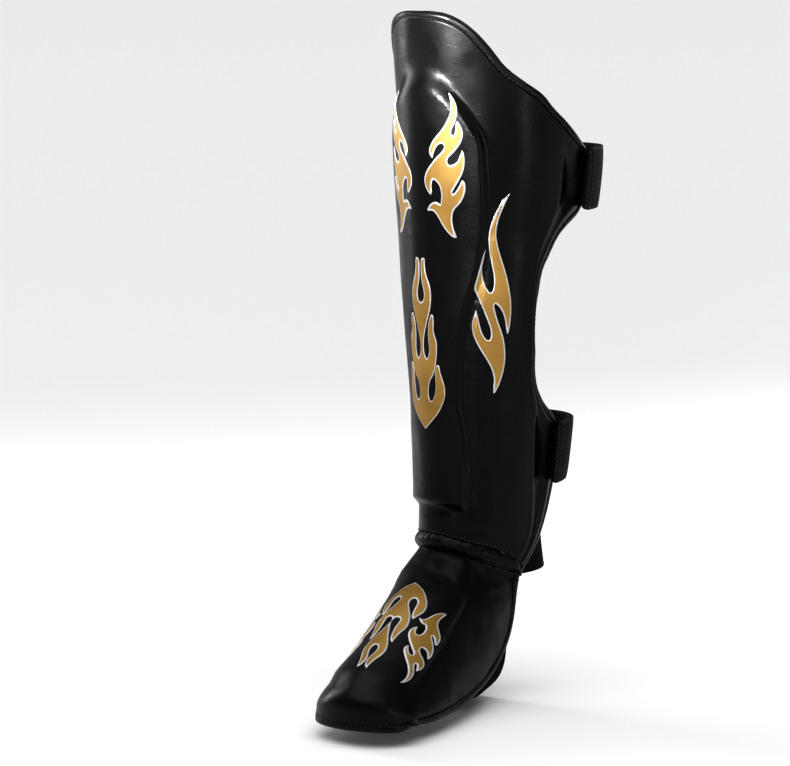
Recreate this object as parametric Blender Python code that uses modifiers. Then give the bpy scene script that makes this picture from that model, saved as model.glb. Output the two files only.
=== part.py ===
"""Padded shin and instep guard for kick boxing and similar sports, the left one of a pair, kept in
the form that it has on a leg.

+Z is up and -Y is the way the shin faces. +X is the outer side of the leg. The origin lies on the
leg's axis at the middle of the calf, where the guard is held. All lengths are in metres, and levels
are shares of SHIN_LENGTH, counted down from the top of the rim.
"""

import math

import bmesh
import bpy
from mathutils import Matrix, Vector

# Shin pad: length from the top of the rim to the corners of the hem, and the calf section
SHIN_LENGTH = 0.392
RIM_HEIGHT = 0.190
CALF_HALF_WIDTH = 0.0625
CALF_FRONT = 0.0605
CALF_BACK = 0.090

# Leather over foam: thickness at the shin bone, at the sides and at the thin wings
SHIN_FOAM = 0.016
SIDE_FOAM = 0.0095
WING_THICKNESS = 0.0052
RAISED_PAD = 0.0045
WING_DIP = 0.0045
EDGE_ROLL = 0.0016

# Rolled leather binding round every edge, and the gap that each piece keeps to the next
BINDING_RADIUS = 0.0030
BINDING_GAP = 0.0010
GAP = 0.0003
MOST_MITRE = 0.8

# Ankle gusset
FLEX_THICKNESS = 0.0085
FLEX_BULGE = 0.0030
GUSSET_SHARE = 0.85

# Instep pad: turned outwards with the foot about a point in front of the leg's axis
INSTEP_LENGTH = 0.157
INSTEP_HALF_WIDTH = 0.040
INSTEP_DROP = 0.0935
INSTEP_FOAM = 0.0105
INSTEP_SIDE_FOAM = 0.0078
INSTEP_EDGE = 0.0046
INSTEP_LEAN = math.radians(30.0)
TOE_OUT = 20.0
FOOT_PIVOT = 0.030

# Straps and elastics
STRAP_WIDTH = 0.043
STRAP_THICKNESS = 0.0058
ELASTIC_THICKNESS = 0.0022
ANKLE_ELASTIC_WIDTH = 0.040
ANKLE_ELASTIC_LEVEL = 0.949
ANKLE_ELASTIC_FLARE = 0.0108
ANKLE_ELASTIC_WAIST = 0.35
ELASTIC_TUCK = 7.0
ELASTIC_FOREMOST = 90.0
FOOT_ELASTIC_WIDTH = 0.038
FOOT_ELASTIC_OUT = 0.004
SOLE_CLEARANCE = 0.0060
SOLE_SQUARENESS = 0.7

# Leg section at each level, as shares of the calf's half width, front depth and back depth
LEG_SECTIONS = (
    # level, half_width, front, back
    (0.00, 1.06, 1.09, 0.98),
    (0.15, 1.00, 1.00, 1.00),
    (0.28, 0.96, 0.96, 1.00),
    (0.42, 0.87, 0.925, 0.93),
    (0.56, 0.825, 0.89, 0.86),
    (0.71, 0.72, 0.835, 0.77),
    (0.83, 0.655, 0.815, 0.71),
    (0.91, 0.61, 0.85, 0.665),
    (1.00, 0.585, 0.86, 0.60),
    (1.08, 0.58, 0.86, 0.59),
)

# Cut of the shin pad down its side: angles round the leg, in degrees, of the raised pad's edge, of
# the fold where the wing begins, and of the leather's edge
SHIN_CUT = (
    # down, raised_edge, fold, edge
    (0.00, 40.0, 99.0, 123.0),
    (0.06, 42.0, 100.5, 124.0),
    (0.115, 44.0, 101.0, 121.0),
    (0.15, 45.0, 100.0, 109.0),
    (0.18, 46.0, 97.0, 102.0),
    (0.22, 47.0, 92.5, 97.0),
    (0.26, 47.0, 89.0, 92.5),
    (0.32, 42.5, 87.0, 90.5),
    (0.385, 33.5, 86.0, 89.5),
    (0.455, 29.5, 87.0, 90.5),
    (0.524, 28.2, 89.0, 92.5),
    (0.576, 28.5, 93.0, 97.5),
    (0.615, 29.5, 96.0, 104.5),
    (0.65, 31.5, 96.0, 115.0),
    (0.68, 33.0, 96.5, 122.0),
    (0.78, 35.5, 98.5, 124.0),
    (0.82, 36.0, 99.5, 122.5),
    (0.875, 36.5, 101.0, 118.5),
    (0.927, 37.0, 100.0, 112.0),
    (0.972, 37.5, 95.0, 103.0),
    (1.00, 38.0, 88.0, 95.0),
)

# Squares across and down each panel's cut
SHIN_GRID = (32, 30)
GUSSET_GRID = (24, 4)
INSTEP_GRID = (22, 18)
STRAP_GRID = (22, 4)
ELASTIC_GRID = (20, 3)

# Columns of the cut on which the raised pad's edge and the fold lie, and where the edge rolls over
RAISED_COLUMN = 0.40
FOLD_COLUMN = 0.82
ROLL_COLUMN = 0.86

# Raised pad on the cut: its top, how much lower that is at the sides, its end and its soft edges
PAD_TOP = 0.062
PAD_SHOULDER = 0.055
PAD_END = 0.895
PAD_SLOPE_ACROSS = 0.055
PAD_SLOPE_DOWN = 0.033

# Columns between which the foam thins, and shares of the cut over which an edge thins
FOAM_THINS = (0.15, 0.65)
WING_THINS = (0.77, 0.87)
EDGE_THINS = 0.045

# Wings: share of the wing that is dished, the angle from fold to edge at which the dish is full, and
# how far down the cut it is full
DISH_SHARE = 0.72
DISH_ANGLE = 22.0
DISH_START = 0.10

# Raised pad of the instep, as shares across and along it
INSTEP_PAD_ACROSS = 0.50
INSTEP_PAD_START = 0.05
INSTEP_PAD_END = 0.76
INSTEP_PAD_SLOPE = 0.055
INSTEP_PAD_HEIGHT = 0.0018
INSTEP_FOAM_THINS = (0.40, 0.80)
INSTEP_EDGE_THINS = 0.10

# Levels of the rim, the hem and the gusset's lower edge, across from the front line to the corner
EDGE_LEVELS = (
    # across, rim, hem, gusset
    (0.00, 0.0160, 0.9145, 0.9425),
    (0.10, 0.0166, 0.9150, 0.9430),
    (0.20, 0.0204, 0.9170, 0.9445),
    (0.30, 0.0332, 0.9210, 0.9470),
    (0.40, 0.0587, 0.9260, 0.9520),
    (0.50, 0.1046, 0.9325, 0.9590),
    (0.60, 0.1327, 0.9400, 0.9680),
    (0.70, 0.1556, 0.9500, 0.9770),
    (0.82, 0.1990, 0.9680, 0.9870),
    (0.90, 0.2296, 0.9745, 0.9895),
    (1.00, 0.2551, 0.9796, 0.9910),
)

# Instep pad: its ridge and its lower edge ahead of the pivot as shares of INSTEP_LENGTH, both as
# far down as shares of INSTEP_DROP, with the half width, the turn towards the toes and the crown
INSTEP_SECTIONS = (
    # along, ridge_out, ridge_down, edge_out, edge_down, half_width, turn, crown
    (0.00, 0.118, 0.000, -0.140, 0.250, 0.840, 0.00, 0.70),
    (0.10, 0.220, 0.062, -0.125, 0.315, 0.920, 0.55, 0.85),
    (0.22, 0.338, 0.150, -0.090, 0.460, 0.970, 0.95, 1.00),
    (0.35, 0.473, 0.266, -0.020, 0.625, 0.985, 1.00, 1.00),
    (0.48, 0.613, 0.396, 0.100, 0.775, 0.985, 1.00, 1.00),
    (0.61, 0.747, 0.522, 0.250, 0.865, 0.990, 1.00, 1.00),
    (0.73, 0.866, 0.622, 0.420, 0.915, 1.000, 1.00, 1.00),
    (0.84, 0.945, 0.712, 0.585, 0.928, 0.995, 1.00, 1.00),
    (0.93, 0.975, 0.806, 0.705, 0.930, 0.965, 1.00, 1.00),
    (1.00, 0.965, 0.925, 0.785, 0.932, 0.895, 1.00, 1.00),
)

# Straps round the calf: level of the middle, and the angle at which each laps on to the wing
STRAPS = (
    # name, level, lap
    ("upper_strap", 0.294, 116.0),
    ("lower_strap", 0.783, 112.5),
)


def remove_everything():
    for item in list(bpy.data.objects):
        bpy.data.objects.remove(item, do_unlink=True)
    for group in list(bpy.data.collections):
        bpy.data.collections.remove(group)


def smooth_row(table, at):
    """All columns of a table at this value of its first column, on a smooth curve through the rows."""
    last = len(table) - 1
    row = 0
    while row < last - 1 and table[row + 1][0] < at:
        row += 1
    before, here, after, beyond = (table[min(max(row + step, 0), last)] for step in (-1, 0, 1, 2))
    span = after[0] - here[0]
    share = min(max((at - here[0]) / span, 0.0), 1.0)
    values = []
    for column in range(1, len(here)):
        slope_here = (after[column] - before[column]) / (after[0] - before[0])
        slope_after = (beyond[column] - here[column]) / (beyond[0] - here[0])
        values.append(
            (2 * share**3 - 3 * share**2 + 1) * here[column]
            + (share**3 - 2 * share**2 + share) * span * slope_here
            + (3 * share**2 - 2 * share**3) * after[column]
            + (share**3 - share**2) * span * slope_after
        )
    return values


def soft_step(value):
    """0 below 0, 1 above 1, and a smooth rise between."""
    value = min(max(value, 0.0), 1.0)
    return value * value * (3.0 - 2.0 * value)


def past(value, place, width):
    """0 before this place, 1 past it, with a smooth rise of this width."""
    return soft_step((value - place) / width + 0.5)


def between(value, start, end):
    """0 up to the start, 1 from the end on, with a smooth rise from one to the other."""
    return soft_step((value - start) / (end - start))


def mix(low, high, share):
    return low + (high - low) * share


def leg_point(angle, level, outward=0.0):
    """The point at this angle round the leg, 0 at the front and 90 at the outer side."""
    half_width, front, back = smooth_row(LEG_SECTIONS, level)
    turn = math.radians(angle)
    depth = front * CALF_FRONT if math.cos(turn) > 0 else back * CALF_BACK
    return Vector((
        (half_width * CALF_HALF_WIDTH + outward) * math.sin(turn),
        -(depth + outward) * math.cos(turn),
        RIM_HEIGHT - level * SHIN_LENGTH,
    ))


def cut_angle(across, down):
    """The angle round the leg of a column of the cut, which follows the raised pad and the fold."""
    raised_edge, fold, edge = smooth_row(SHIN_CUT, down)
    column = abs(across)
    if column < RAISED_COLUMN:
        angle = raised_edge * column / RAISED_COLUMN
    elif column < FOLD_COLUMN:
        angle = mix(raised_edge, fold, (column - RAISED_COLUMN) / (FOLD_COLUMN - RAISED_COLUMN))
    else:
        angle = mix(fold, edge, (column - FOLD_COLUMN) / (1.0 - FOLD_COLUMN))
    return math.copysign(angle, across)


def cut_level(across, down):
    """The level of a row of the cut: bent like the rim at the top and like the hem at the bottom."""
    rim, hem, _ = smooth_row(EDGE_LEVELS, abs(across))
    rim_corner = EDGE_LEVELS[-1][1]
    hem_corner = EDGE_LEVELS[-1][2]
    like_rim = max(1.0 - down / 0.55, 0.0) ** 2
    like_hem = max((down - 0.45) / 0.55, 0.0) ** 2
    straight = mix(rim_corner, hem_corner, down)
    return straight + (rim - rim_corner) * like_rim + (hem - hem_corner) * like_hem


def shin_relief(across, down):
    """How far the leather stands out from the leg section: raised pad, dished wing, rolled edge."""
    column = abs(across)
    fold, edge = smooth_row(SHIN_CUT, down)[1:]
    pad_top = PAD_TOP + PAD_SHOULDER * (column / RAISED_COLUMN) ** 2
    raised = 1.0 - past(column, RAISED_COLUMN, PAD_SLOPE_ACROSS)
    raised *= past(down, pad_top, PAD_SLOPE_DOWN)
    raised *= 1.0 - past(down, PAD_END, PAD_SLOPE_DOWN)
    wing = max((column - FOLD_COLUMN) / (1.0 - FOLD_COLUMN), 0.0)
    dish = math.sin(math.pi * min(wing / DISH_SHARE, 1.0)) * min((edge - fold) / DISH_ANGLE, 1.0)
    dish *= between(down, 0.0, DISH_START)
    rolled = max((column - ROLL_COLUMN) / (1.0 - ROLL_COLUMN), 0.0) ** 2
    return RAISED_PAD * raised - WING_DIP * dish - EDGE_ROLL * rolled


def shin_thickness(across, down):
    """Thickness of leather and foam at a place of the cut."""
    column = abs(across)
    foam = mix(SHIN_FOAM, SIDE_FOAM, between(column, *FOAM_THINS))
    foam = mix(foam, WING_THICKNESS, between(column, *WING_THINS))
    return mix(WING_THICKNESS, foam, soft_step(min(down, 1.0 - down) / EDGE_THINS))


def shin_place(across, down):
    return leg_point(cut_angle(across, down), cut_level(across, down), shin_relief(across, down))


def gusset_place(across, down):
    """The ankle gusset, between the hem and the binding under it."""
    column = GUSSET_SHARE * across
    _, hem, gusset = smooth_row(EDGE_LEVELS, abs(column))
    level = mix(hem + GAP / SHIN_LENGTH, gusset, down)
    bulge = FLEX_BULGE * math.sin(math.pi * down) * (1.0 - abs(across) ** 3)
    return leg_point(cut_angle(column, 1.0), level, bulge)


def gusset_thickness(across, down):
    return mix(FLEX_THICKNESS, WING_THICKNESS, between(abs(across), 0.5, 1.0))


def foot_point(side, out, height, turn=1.0):
    """A point of the foot's own frame: to its outer side, ahead of the pivot, and up."""
    flat = Matrix.Rotation(math.radians(TOE_OUT * turn), 3, "Z") @ Vector((side, -out, 0.0))
    return flat + Vector((0.0, -FOOT_PIVOT, height))


def instep_top():
    """Height of the instep pad's upper edge at the front, just under the shin pad's binding."""
    gusset = smooth_row(EDGE_LEVELS, 0.0)[2]
    return RIM_HEIGHT - gusset * SHIN_LENGTH - 2 * BINDING_RADIUS - 2 * GAP


def instep_relief(across, along):
    raised = 1.0 - past(abs(across), INSTEP_PAD_ACROSS, INSTEP_PAD_SLOPE)
    raised *= past(along, INSTEP_PAD_START, INSTEP_PAD_SLOPE)
    raised *= 1.0 - past(along, INSTEP_PAD_END, INSTEP_PAD_SLOPE)
    return INSTEP_PAD_HEIGHT * raised


def instep_place(across, along):
    """The instep pad: an arch over the foot at each station, closing to the edge round the toes."""
    section = smooth_row(INSTEP_SECTIONS, along)
    ridge_out, ridge_down, edge_out, edge_down, half_width, turn, crown = section
    phase = math.radians(90.0 * across)
    rise = math.cos(phase)
    outward = instep_relief(across, along)
    out = mix(edge_out, ridge_out, rise) * INSTEP_LENGTH
    out += outward * rise * math.sin(INSTEP_LEAN)
    down = mix(edge_down, ridge_down, rise**crown) * INSTEP_DROP
    down -= outward * rise * math.cos(INSTEP_LEAN)
    side = (half_width * INSTEP_HALF_WIDTH + outward) * math.sin(phase)
    return foot_point(side, out, instep_top() - down, turn)


def instep_thickness(across, along):
    foam = mix(INSTEP_FOAM, INSTEP_SIDE_FOAM, between(abs(across), *INSTEP_FOAM_THINS))
    to_edge = min(1.0 - abs(across), along, 1.0 - along) / INSTEP_EDGE_THINS
    return mix(INSTEP_EDGE, foam, soft_step(to_edge))


def strap_place(level, lap):
    """A strap round the back of the calf, lapped over the ends of both wings."""
    lift = STRAP_THICKNESS - GAP

    def place(across, down):
        angle = 180.0 + across * (180.0 - lap)
        return leg_point(angle, level + (down - 0.5) * STRAP_WIDTH / SHIN_LENGTH, lift)

    return place


def ankle_elastic_place(across, down):
    """The elastic behind the ankle, tucked inside the side edges of the shin pad."""
    level = ANKLE_ELASTIC_LEVEL + (down - 0.5) * ANKLE_ELASTIC_WIDTH / SHIN_LENGTH
    rim_corner = EDGE_LEVELS[-1][1]
    hem_corner = EDGE_LEVELS[-1][2]
    edge = smooth_row(SHIN_CUT, (level - rim_corner) / (hem_corner - rim_corner))[2]
    angle = 180.0 + across * (180.0 - max(edge - ELASTIC_TUCK, ELASTIC_FOREMOST))
    flare = ANKLE_ELASTIC_FLARE * (down - ANKLE_ELASTIC_WAIST) * (1.0 - across**2)
    inset = BINDING_RADIUS + EDGE_ROLL + WING_THICKNESS / 2 + 2.2 * BINDING_GAP
    return leg_point(angle, level, flare - inset)


def instep_edge_at(out):
    """The instep pad's lower edge this far ahead of the pivot: height, half width and slope."""
    stations = [index / 80 for index in range(81)]
    station = min(stations, key=lambda at: abs(smooth_row(INSTEP_SECTIONS, at)[2] * INSTEP_LENGTH - out))
    here = smooth_row(INSTEP_SECTIONS, station)
    beyond = smooth_row(INSTEP_SECTIONS, station + 0.02)
    slope = (beyond[3] - here[3]) * INSTEP_DROP / ((beyond[2] - here[2]) * INSTEP_LENGTH)
    return instep_top() - here[3] * INSTEP_DROP, here[4] * INSTEP_HALF_WIDTH, slope


def foot_elastic_place(across, down):
    """The elastic under the arch of the foot, from the binding on one side to the other."""
    out = (down - 0.5) * FOOT_ELASTIC_WIDTH + FOOT_ELASTIC_OUT
    height, half_width, slope = instep_edge_at(out)
    top = height - 2 * (BINDING_RADIUS + BINDING_GAP) * math.hypot(1.0, slope)
    sole = instep_top() - INSTEP_DROP - SOLE_CLEARANCE
    phase = math.radians(90.0 * across)
    bow = abs(math.sin(phase)) ** SOLE_SQUARENESS
    side = -math.copysign(bow, across) * (half_width - BINDING_RADIUS)
    return foot_point(side, out, mix(top, sole, math.cos(phase) ** SOLE_SQUARENESS))


def material(name, colour, roughness):
    made = bpy.data.materials.new(name)
    made.use_nodes = True
    shader = made.node_tree.nodes["Principled BSDF"]
    shader.inputs["Base Color"].default_value = (*colour, 1.0)
    shader.inputs["Roughness"].default_value = roughness
    shader.inputs["Metallic"].default_value = 0.0
    return made


def finish_object(name, data, group, finish):
    made = bpy.data.objects.new(name, data)
    made.data.materials.append(finish)
    group.objects.link(made)
    return made


def panel(name, size, place, thickness, greatest, group, finish):
    """A panel of leather or webbing: a grid laid out by place() and thickened inwards."""
    grid = bmesh.new()
    bmesh.ops.create_grid(grid, x_segments=size[0], y_segments=size[1], size=1.0)
    shares = []
    for vert in grid.verts:
        across, down = vert.co.x, (1.0 - vert.co.y) / 2.0
        shares.append(thickness(across, down) / greatest)
        vert.co = place(across, down)
    mesh = bpy.data.meshes.new(name)
    grid.to_mesh(mesh)
    grid.free()
    mesh.shade_smooth()
    made = finish_object(name, mesh, group, finish)
    foam = made.vertex_groups.new(name="foam")
    for index, share in enumerate(shares):
        foam.add([index], share, "REPLACE")
    shell = made.modifiers.new("foam", "SOLIDIFY")
    shell.thickness = greatest
    shell.offset = -1.0
    shell.vertex_group = foam.name
    shell.thickness_vertex_group = 0.0
    return made


def edge_stops(place, grid, start, end):
    """Places along one edge of a panel's cut, each with the step that leads into the panel."""
    columns, rows = grid
    count = columns if start[1] == end[1] else rows
    stops = []
    for index in range(count + 1):
        across = mix(start[0], end[0], index / count)
        down = mix(start[1], end[1], index / count)
        inward = (
            -math.copysign(2.0 / columns, across) if abs(across) > 0.999 else 0.0,
            1.0 / rows if down < 0.001 else -1.0 / rows if down > 0.999 else 0.0,
        )
        stops.append((place(across, down), place(across + inward[0], down + inward[1])))
    return stops


def beside(stops, closed, depth):
    """Middles of a binding beside these stops, at this depth under the leather's face."""
    middles = []
    for index, (here, inside) in enumerate(stops):
        before = stops[index - 1 if closed else max(index - 1, 0)][0]
        after = stops[(index + 1) % len(stops) if closed else min(index + 1, len(stops) - 1)][0]
        run = after - before
        out = here - inside
        out -= run * (out.dot(run) / run.length_squared)
        under = out.cross(run).normalized()
        turn = 0.0 if here in (before, after) else (here - before).angle(after - here)
        reach = (BINDING_RADIUS + BINDING_GAP) / math.cos(min(turn / 2, MOST_MITRE))
        middles.append(here + out.normalized() * reach + under * depth)
    return middles


def rolled_binding(name, points, closed, group, finish):
    """A round bead of binding leather along these points."""
    curve = bpy.data.curves.new(name, "CURVE")
    curve.dimensions = "3D"
    curve.bevel_depth = BINDING_RADIUS
    curve.bevel_resolution = 2
    curve.use_fill_caps = not closed
    run = curve.splines.new("POLY")
    run.points.add(len(points) - 1)
    for knot, point in zip(run.points, points):
        knot.co = (*point, 1.0)
    run.use_cyclic_u = closed
    run.use_smooth = True
    return finish_object(name, curve, group, finish)


def shin_binding_points():
    """Round the rim, down the outer edge, along under the gusset and up the inner edge."""
    stops = (
        edge_stops(shin_place, SHIN_GRID, (-1, 0), (1, 0))
        + edge_stops(shin_place, SHIN_GRID, (1, 0), (1, 1))[1:]
        + edge_stops(gusset_place, GUSSET_GRID, (1, 1), (-1, 1))
        + edge_stops(shin_place, SHIN_GRID, (-1, 1), (-1, 0))[:-1]
    )
    return beside(stops, True, WING_THICKNESS / 2)


def instep_binding_points():
    """Down the outer edge, round the toes and up the inner edge."""
    stops = (
        edge_stops(instep_place, INSTEP_GRID, (1, 0), (1, 1))[1:]
        + edge_stops(instep_place, INSTEP_GRID, (1, 1), (-1, 1))[1:]
        + edge_stops(instep_place, INSTEP_GRID, (-1, 1), (-1, 0))[1:-1]
    )
    return beside(stops, False, INSTEP_EDGE / 2)


def even(thickness):
    return lambda across, down: thickness


def build():
    remove_everything()
    group = bpy.data.collections.new("shin_guard")
    bpy.context.scene.collection.children.link(group)
    leather = material("black_leather", (0.012, 0.012, 0.013), 0.30)
    edge = material("binding_leather", (0.014, 0.014, 0.015), 0.42)
    webbing = material("strap_webbing", (0.016, 0.015, 0.015), 0.60)
    elastic = material("black_elastic", (0.018, 0.018, 0.019), 0.85)

    panel("shin_shell", SHIN_GRID, shin_place, shin_thickness, SHIN_FOAM, group, leather)
    panel("ankle_gusset", GUSSET_GRID, gusset_place, gusset_thickness, FLEX_THICKNESS, group, leather)
    panel("instep_shell", INSTEP_GRID, instep_place, instep_thickness, INSTEP_FOAM, group, leather)
    rolled_binding("shin_binding", shin_binding_points(), True, group, edge)
    rolled_binding("instep_binding", instep_binding_points(), False, group, edge)
    for name, level, lap in STRAPS:
        place = strap_place(level, lap)
        panel(name, STRAP_GRID, place, even(STRAP_THICKNESS), STRAP_THICKNESS, group, webbing)
    for name, place in (("ankle_elastic", ankle_elastic_place), ("foot_elastic", foot_elastic_place)):
        panel(name, ELASTIC_GRID, place, even(ELASTIC_THICKNESS), ELASTIC_THICKNESS, group, elastic)


build()
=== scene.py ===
# %% [markdown]
# # A padded shin and instep guard
#
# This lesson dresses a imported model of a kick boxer's shin guard. The frame holds plain solids of
# the right size. Each step below replaces one of them with the piece as it is sewn: leather over
# foam, rolled bindings, stitches, foil flames, webbing and elastic.

# %% The frame and the box that it must stay in
import math

import bmesh
import bpy
import numpy as np
from mathutils import Matrix, Vector, geometry, noise


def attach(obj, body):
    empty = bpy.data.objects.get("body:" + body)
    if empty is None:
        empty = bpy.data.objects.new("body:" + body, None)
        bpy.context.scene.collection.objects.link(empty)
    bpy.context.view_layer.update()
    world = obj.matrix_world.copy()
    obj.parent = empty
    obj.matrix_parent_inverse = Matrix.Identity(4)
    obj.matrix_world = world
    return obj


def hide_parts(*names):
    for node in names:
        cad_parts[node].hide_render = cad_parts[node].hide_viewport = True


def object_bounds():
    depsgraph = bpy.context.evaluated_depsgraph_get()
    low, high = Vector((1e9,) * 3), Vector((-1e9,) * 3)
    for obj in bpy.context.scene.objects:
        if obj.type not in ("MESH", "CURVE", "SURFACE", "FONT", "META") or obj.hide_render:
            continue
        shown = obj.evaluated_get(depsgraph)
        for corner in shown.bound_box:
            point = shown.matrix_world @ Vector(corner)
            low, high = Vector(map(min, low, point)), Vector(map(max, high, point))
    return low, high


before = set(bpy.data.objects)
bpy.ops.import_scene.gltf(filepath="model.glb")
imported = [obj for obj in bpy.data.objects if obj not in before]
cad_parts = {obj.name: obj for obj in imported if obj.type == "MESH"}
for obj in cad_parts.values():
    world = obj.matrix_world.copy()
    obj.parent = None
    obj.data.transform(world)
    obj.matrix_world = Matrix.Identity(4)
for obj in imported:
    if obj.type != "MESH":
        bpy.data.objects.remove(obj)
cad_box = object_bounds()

print("nodes in the frame:", ", ".join(sorted(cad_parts)))

# %% [markdown]
# ## The form of the guard
#
# A leg has no flat or round places, so the leather is laid out as a cut of its own. `across` runs
# from -1 at the inner edge to 1 at the outer edge, and `down` from 0 at the rim to 1 at the hem.
# Short tables say where each place of the cut lies on the leg. The solids use the same tables, so
# a piece made from them fits its solid without measuring. Here all places are worked out at once
# with numpy, because a fine skin has tens of thousands of them.

# %% Sizes, in metres
SHIN_LENGTH = 0.392
RIM_HEIGHT = 0.190
CALF_HALF_WIDTH = 0.0625
CALF_FRONT = 0.0605
CALF_BACK = 0.090
SHIN_FOAM = 0.016
SIDE_FOAM = 0.0095
WING_THICKNESS = 0.0052
RAISED_PAD = 0.0045
WING_DIP = 0.0045
EDGE_ROLL = 0.0016
BINDING_RADIUS = 0.0030
BINDING_GAP = 0.0010
GAP = 0.0003
FLEX_THICKNESS = 0.0085
FLEX_BULGE = 0.0030
GUSSET_SHARE = 0.85
INSTEP_LENGTH = 0.157
INSTEP_HALF_WIDTH = 0.040
INSTEP_DROP = 0.0935
INSTEP_FOAM = 0.0105
INSTEP_SIDE_FOAM = 0.0078
INSTEP_EDGE = 0.0046
INSTEP_LEAN = math.radians(30.0)
TOE_OUT = 20.0
FOOT_PIVOT = 0.030
STRAP_WIDTH = 0.043
STRAP_THICKNESS = 0.0058
ELASTIC_THICKNESS = 0.0022
ANKLE_ELASTIC_WIDTH = 0.040
ANKLE_ELASTIC_LEVEL = 0.949
ANKLE_ELASTIC_FLARE = 0.0108
ANKLE_ELASTIC_WAIST = 0.35
ELASTIC_TUCK = 7.0
ELASTIC_FOREMOST = 90.0
FOOT_ELASTIC_WIDTH = 0.038
FOOT_ELASTIC_OUT = 0.004
SOLE_CLEARANCE = 0.0060
SOLE_SQUARENESS = 0.7

RAISED_COLUMN, FOLD_COLUMN, ROLL_COLUMN = 0.40, 0.82, 0.86
PAD_TOP, PAD_SHOULDER, PAD_END = 0.062, 0.055, 0.895
PAD_SLOPE_ACROSS, PAD_SLOPE_DOWN = 0.055, 0.033
FOAM_THINS, WING_THINS, EDGE_THINS = (0.15, 0.65), (0.77, 0.87), 0.045
DISH_SHARE, DISH_ANGLE, DISH_START = 0.72, 22.0, 0.10
INSTEP_PAD_ACROSS, INSTEP_PAD_START, INSTEP_PAD_END = 0.50, 0.05, 0.76
INSTEP_PAD_SLOPE, INSTEP_PAD_HEIGHT = 0.055, 0.0018
INSTEP_FOAM_THINS, INSTEP_EDGE_THINS = (0.40, 0.80), 0.10

# %% Tables of the leg, the cut and the foot
LEG_SECTIONS = (
    # level, half_width, front, back
    (0.00, 1.06, 1.09, 0.98),
    (0.15, 1.00, 1.00, 1.00),
    (0.28, 0.96, 0.96, 1.00),
    (0.42, 0.87, 0.925, 0.93),
    (0.56, 0.825, 0.89, 0.86),
    (0.71, 0.72, 0.835, 0.77),
    (0.83, 0.655, 0.815, 0.71),
    (0.91, 0.61, 0.85, 0.665),
    (1.00, 0.585, 0.86, 0.60),
    (1.08, 0.58, 0.86, 0.59),
)
SHIN_CUT = (
    # down, raised_edge, fold, edge, as angles round the leg
    (0.00, 40.0, 99.0, 123.0),
    (0.06, 42.0, 100.5, 124.0),
    (0.115, 44.0, 101.0, 121.0),
    (0.15, 45.0, 100.0, 109.0),
    (0.18, 46.0, 97.0, 102.0),
    (0.22, 47.0, 92.5, 97.0),
    (0.26, 47.0, 89.0, 92.5),
    (0.32, 42.5, 87.0, 90.5),
    (0.385, 33.5, 86.0, 89.5),
    (0.455, 29.5, 87.0, 90.5),
    (0.524, 28.2, 89.0, 92.5),
    (0.576, 28.5, 93.0, 97.5),
    (0.615, 29.5, 96.0, 104.5),
    (0.65, 31.5, 96.0, 115.0),
    (0.68, 33.0, 96.5, 122.0),
    (0.78, 35.5, 98.5, 124.0),
    (0.82, 36.0, 99.5, 122.5),
    (0.875, 36.5, 101.0, 118.5),
    (0.927, 37.0, 100.0, 112.0),
    (0.972, 37.5, 95.0, 103.0),
    (1.00, 38.0, 88.0, 95.0),
)
EDGE_LEVELS = (
    # across, rim, hem, gusset
    (0.00, 0.0160, 0.9145, 0.9425),
    (0.10, 0.0166, 0.9150, 0.9430),
    (0.20, 0.0204, 0.9170, 0.9445),
    (0.30, 0.0332, 0.9210, 0.9470),
    (0.40, 0.0587, 0.9260, 0.9520),
    (0.50, 0.1046, 0.9325, 0.9590),
    (0.60, 0.1327, 0.9400, 0.9680),
    (0.70, 0.1556, 0.9500, 0.9770),
    (0.82, 0.1990, 0.9680, 0.9870),
    (0.90, 0.2296, 0.9745, 0.9895),
    (1.00, 0.2551, 0.9796, 0.9910),
)
INSTEP_SECTIONS = (
    # along, ridge_out, ridge_down, edge_out, edge_down, half_width, turn, crown
    (0.00, 0.118, 0.000, -0.140, 0.250, 0.840, 0.00, 0.70),
    (0.10, 0.220, 0.062, -0.125, 0.315, 0.920, 0.55, 0.85),
    (0.22, 0.338, 0.150, -0.090, 0.460, 0.970, 0.95, 1.00),
    (0.35, 0.473, 0.266, -0.020, 0.625, 0.985, 1.00, 1.00),
    (0.48, 0.613, 0.396, 0.100, 0.775, 0.985, 1.00, 1.00),
    (0.61, 0.747, 0.522, 0.250, 0.865, 0.990, 1.00, 1.00),
    (0.73, 0.866, 0.622, 0.420, 0.915, 1.000, 1.00, 1.00),
    (0.84, 0.945, 0.712, 0.585, 0.928, 0.995, 1.00, 1.00),
    (0.93, 0.975, 0.806, 0.705, 0.930, 0.965, 1.00, 1.00),
    (1.00, 0.965, 0.925, 0.785, 0.932, 0.895, 1.00, 1.00),
)
STRAPS = (
    # name, level, lap
    ("upper_strap", 0.294, 116.0),
    ("lower_strap", 0.783, 112.5),
)


# %% Small helpers
def smooth_row(table, at):
    """All columns of a table at these values of its first column, on smooth curves."""
    rows = np.array(table, float)
    at = np.asarray(at, float)
    last = len(rows) - 1
    row = np.clip(np.searchsorted(rows[:, 0], at) - 1, 0, last - 1)
    before, here, after, beyond = (rows[np.clip(row + step, 0, last)] for step in (-1, 0, 1, 2))
    span = (after - here)[..., :1]
    share = np.clip((at[..., None] - here[..., :1]) / span, 0.0, 1.0)
    slope_here = (after - before) / (after - before)[..., :1]
    slope_after = (beyond - here) / (beyond - here)[..., :1]
    curve = (
        (2 * share**3 - 3 * share**2 + 1) * here
        + (share**3 - 2 * share**2 + share) * span * slope_here
        + (3 * share**2 - 2 * share**3) * after
        + (share**3 - share**2) * span * slope_after
    )
    return np.moveaxis(curve[..., 1:], -1, 0)


def soft_step(value):
    """0 below 0, 1 above 1, and a smooth rise between."""
    value = np.clip(value, 0.0, 1.0)
    return value * value * (3.0 - 2.0 * value)


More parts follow.
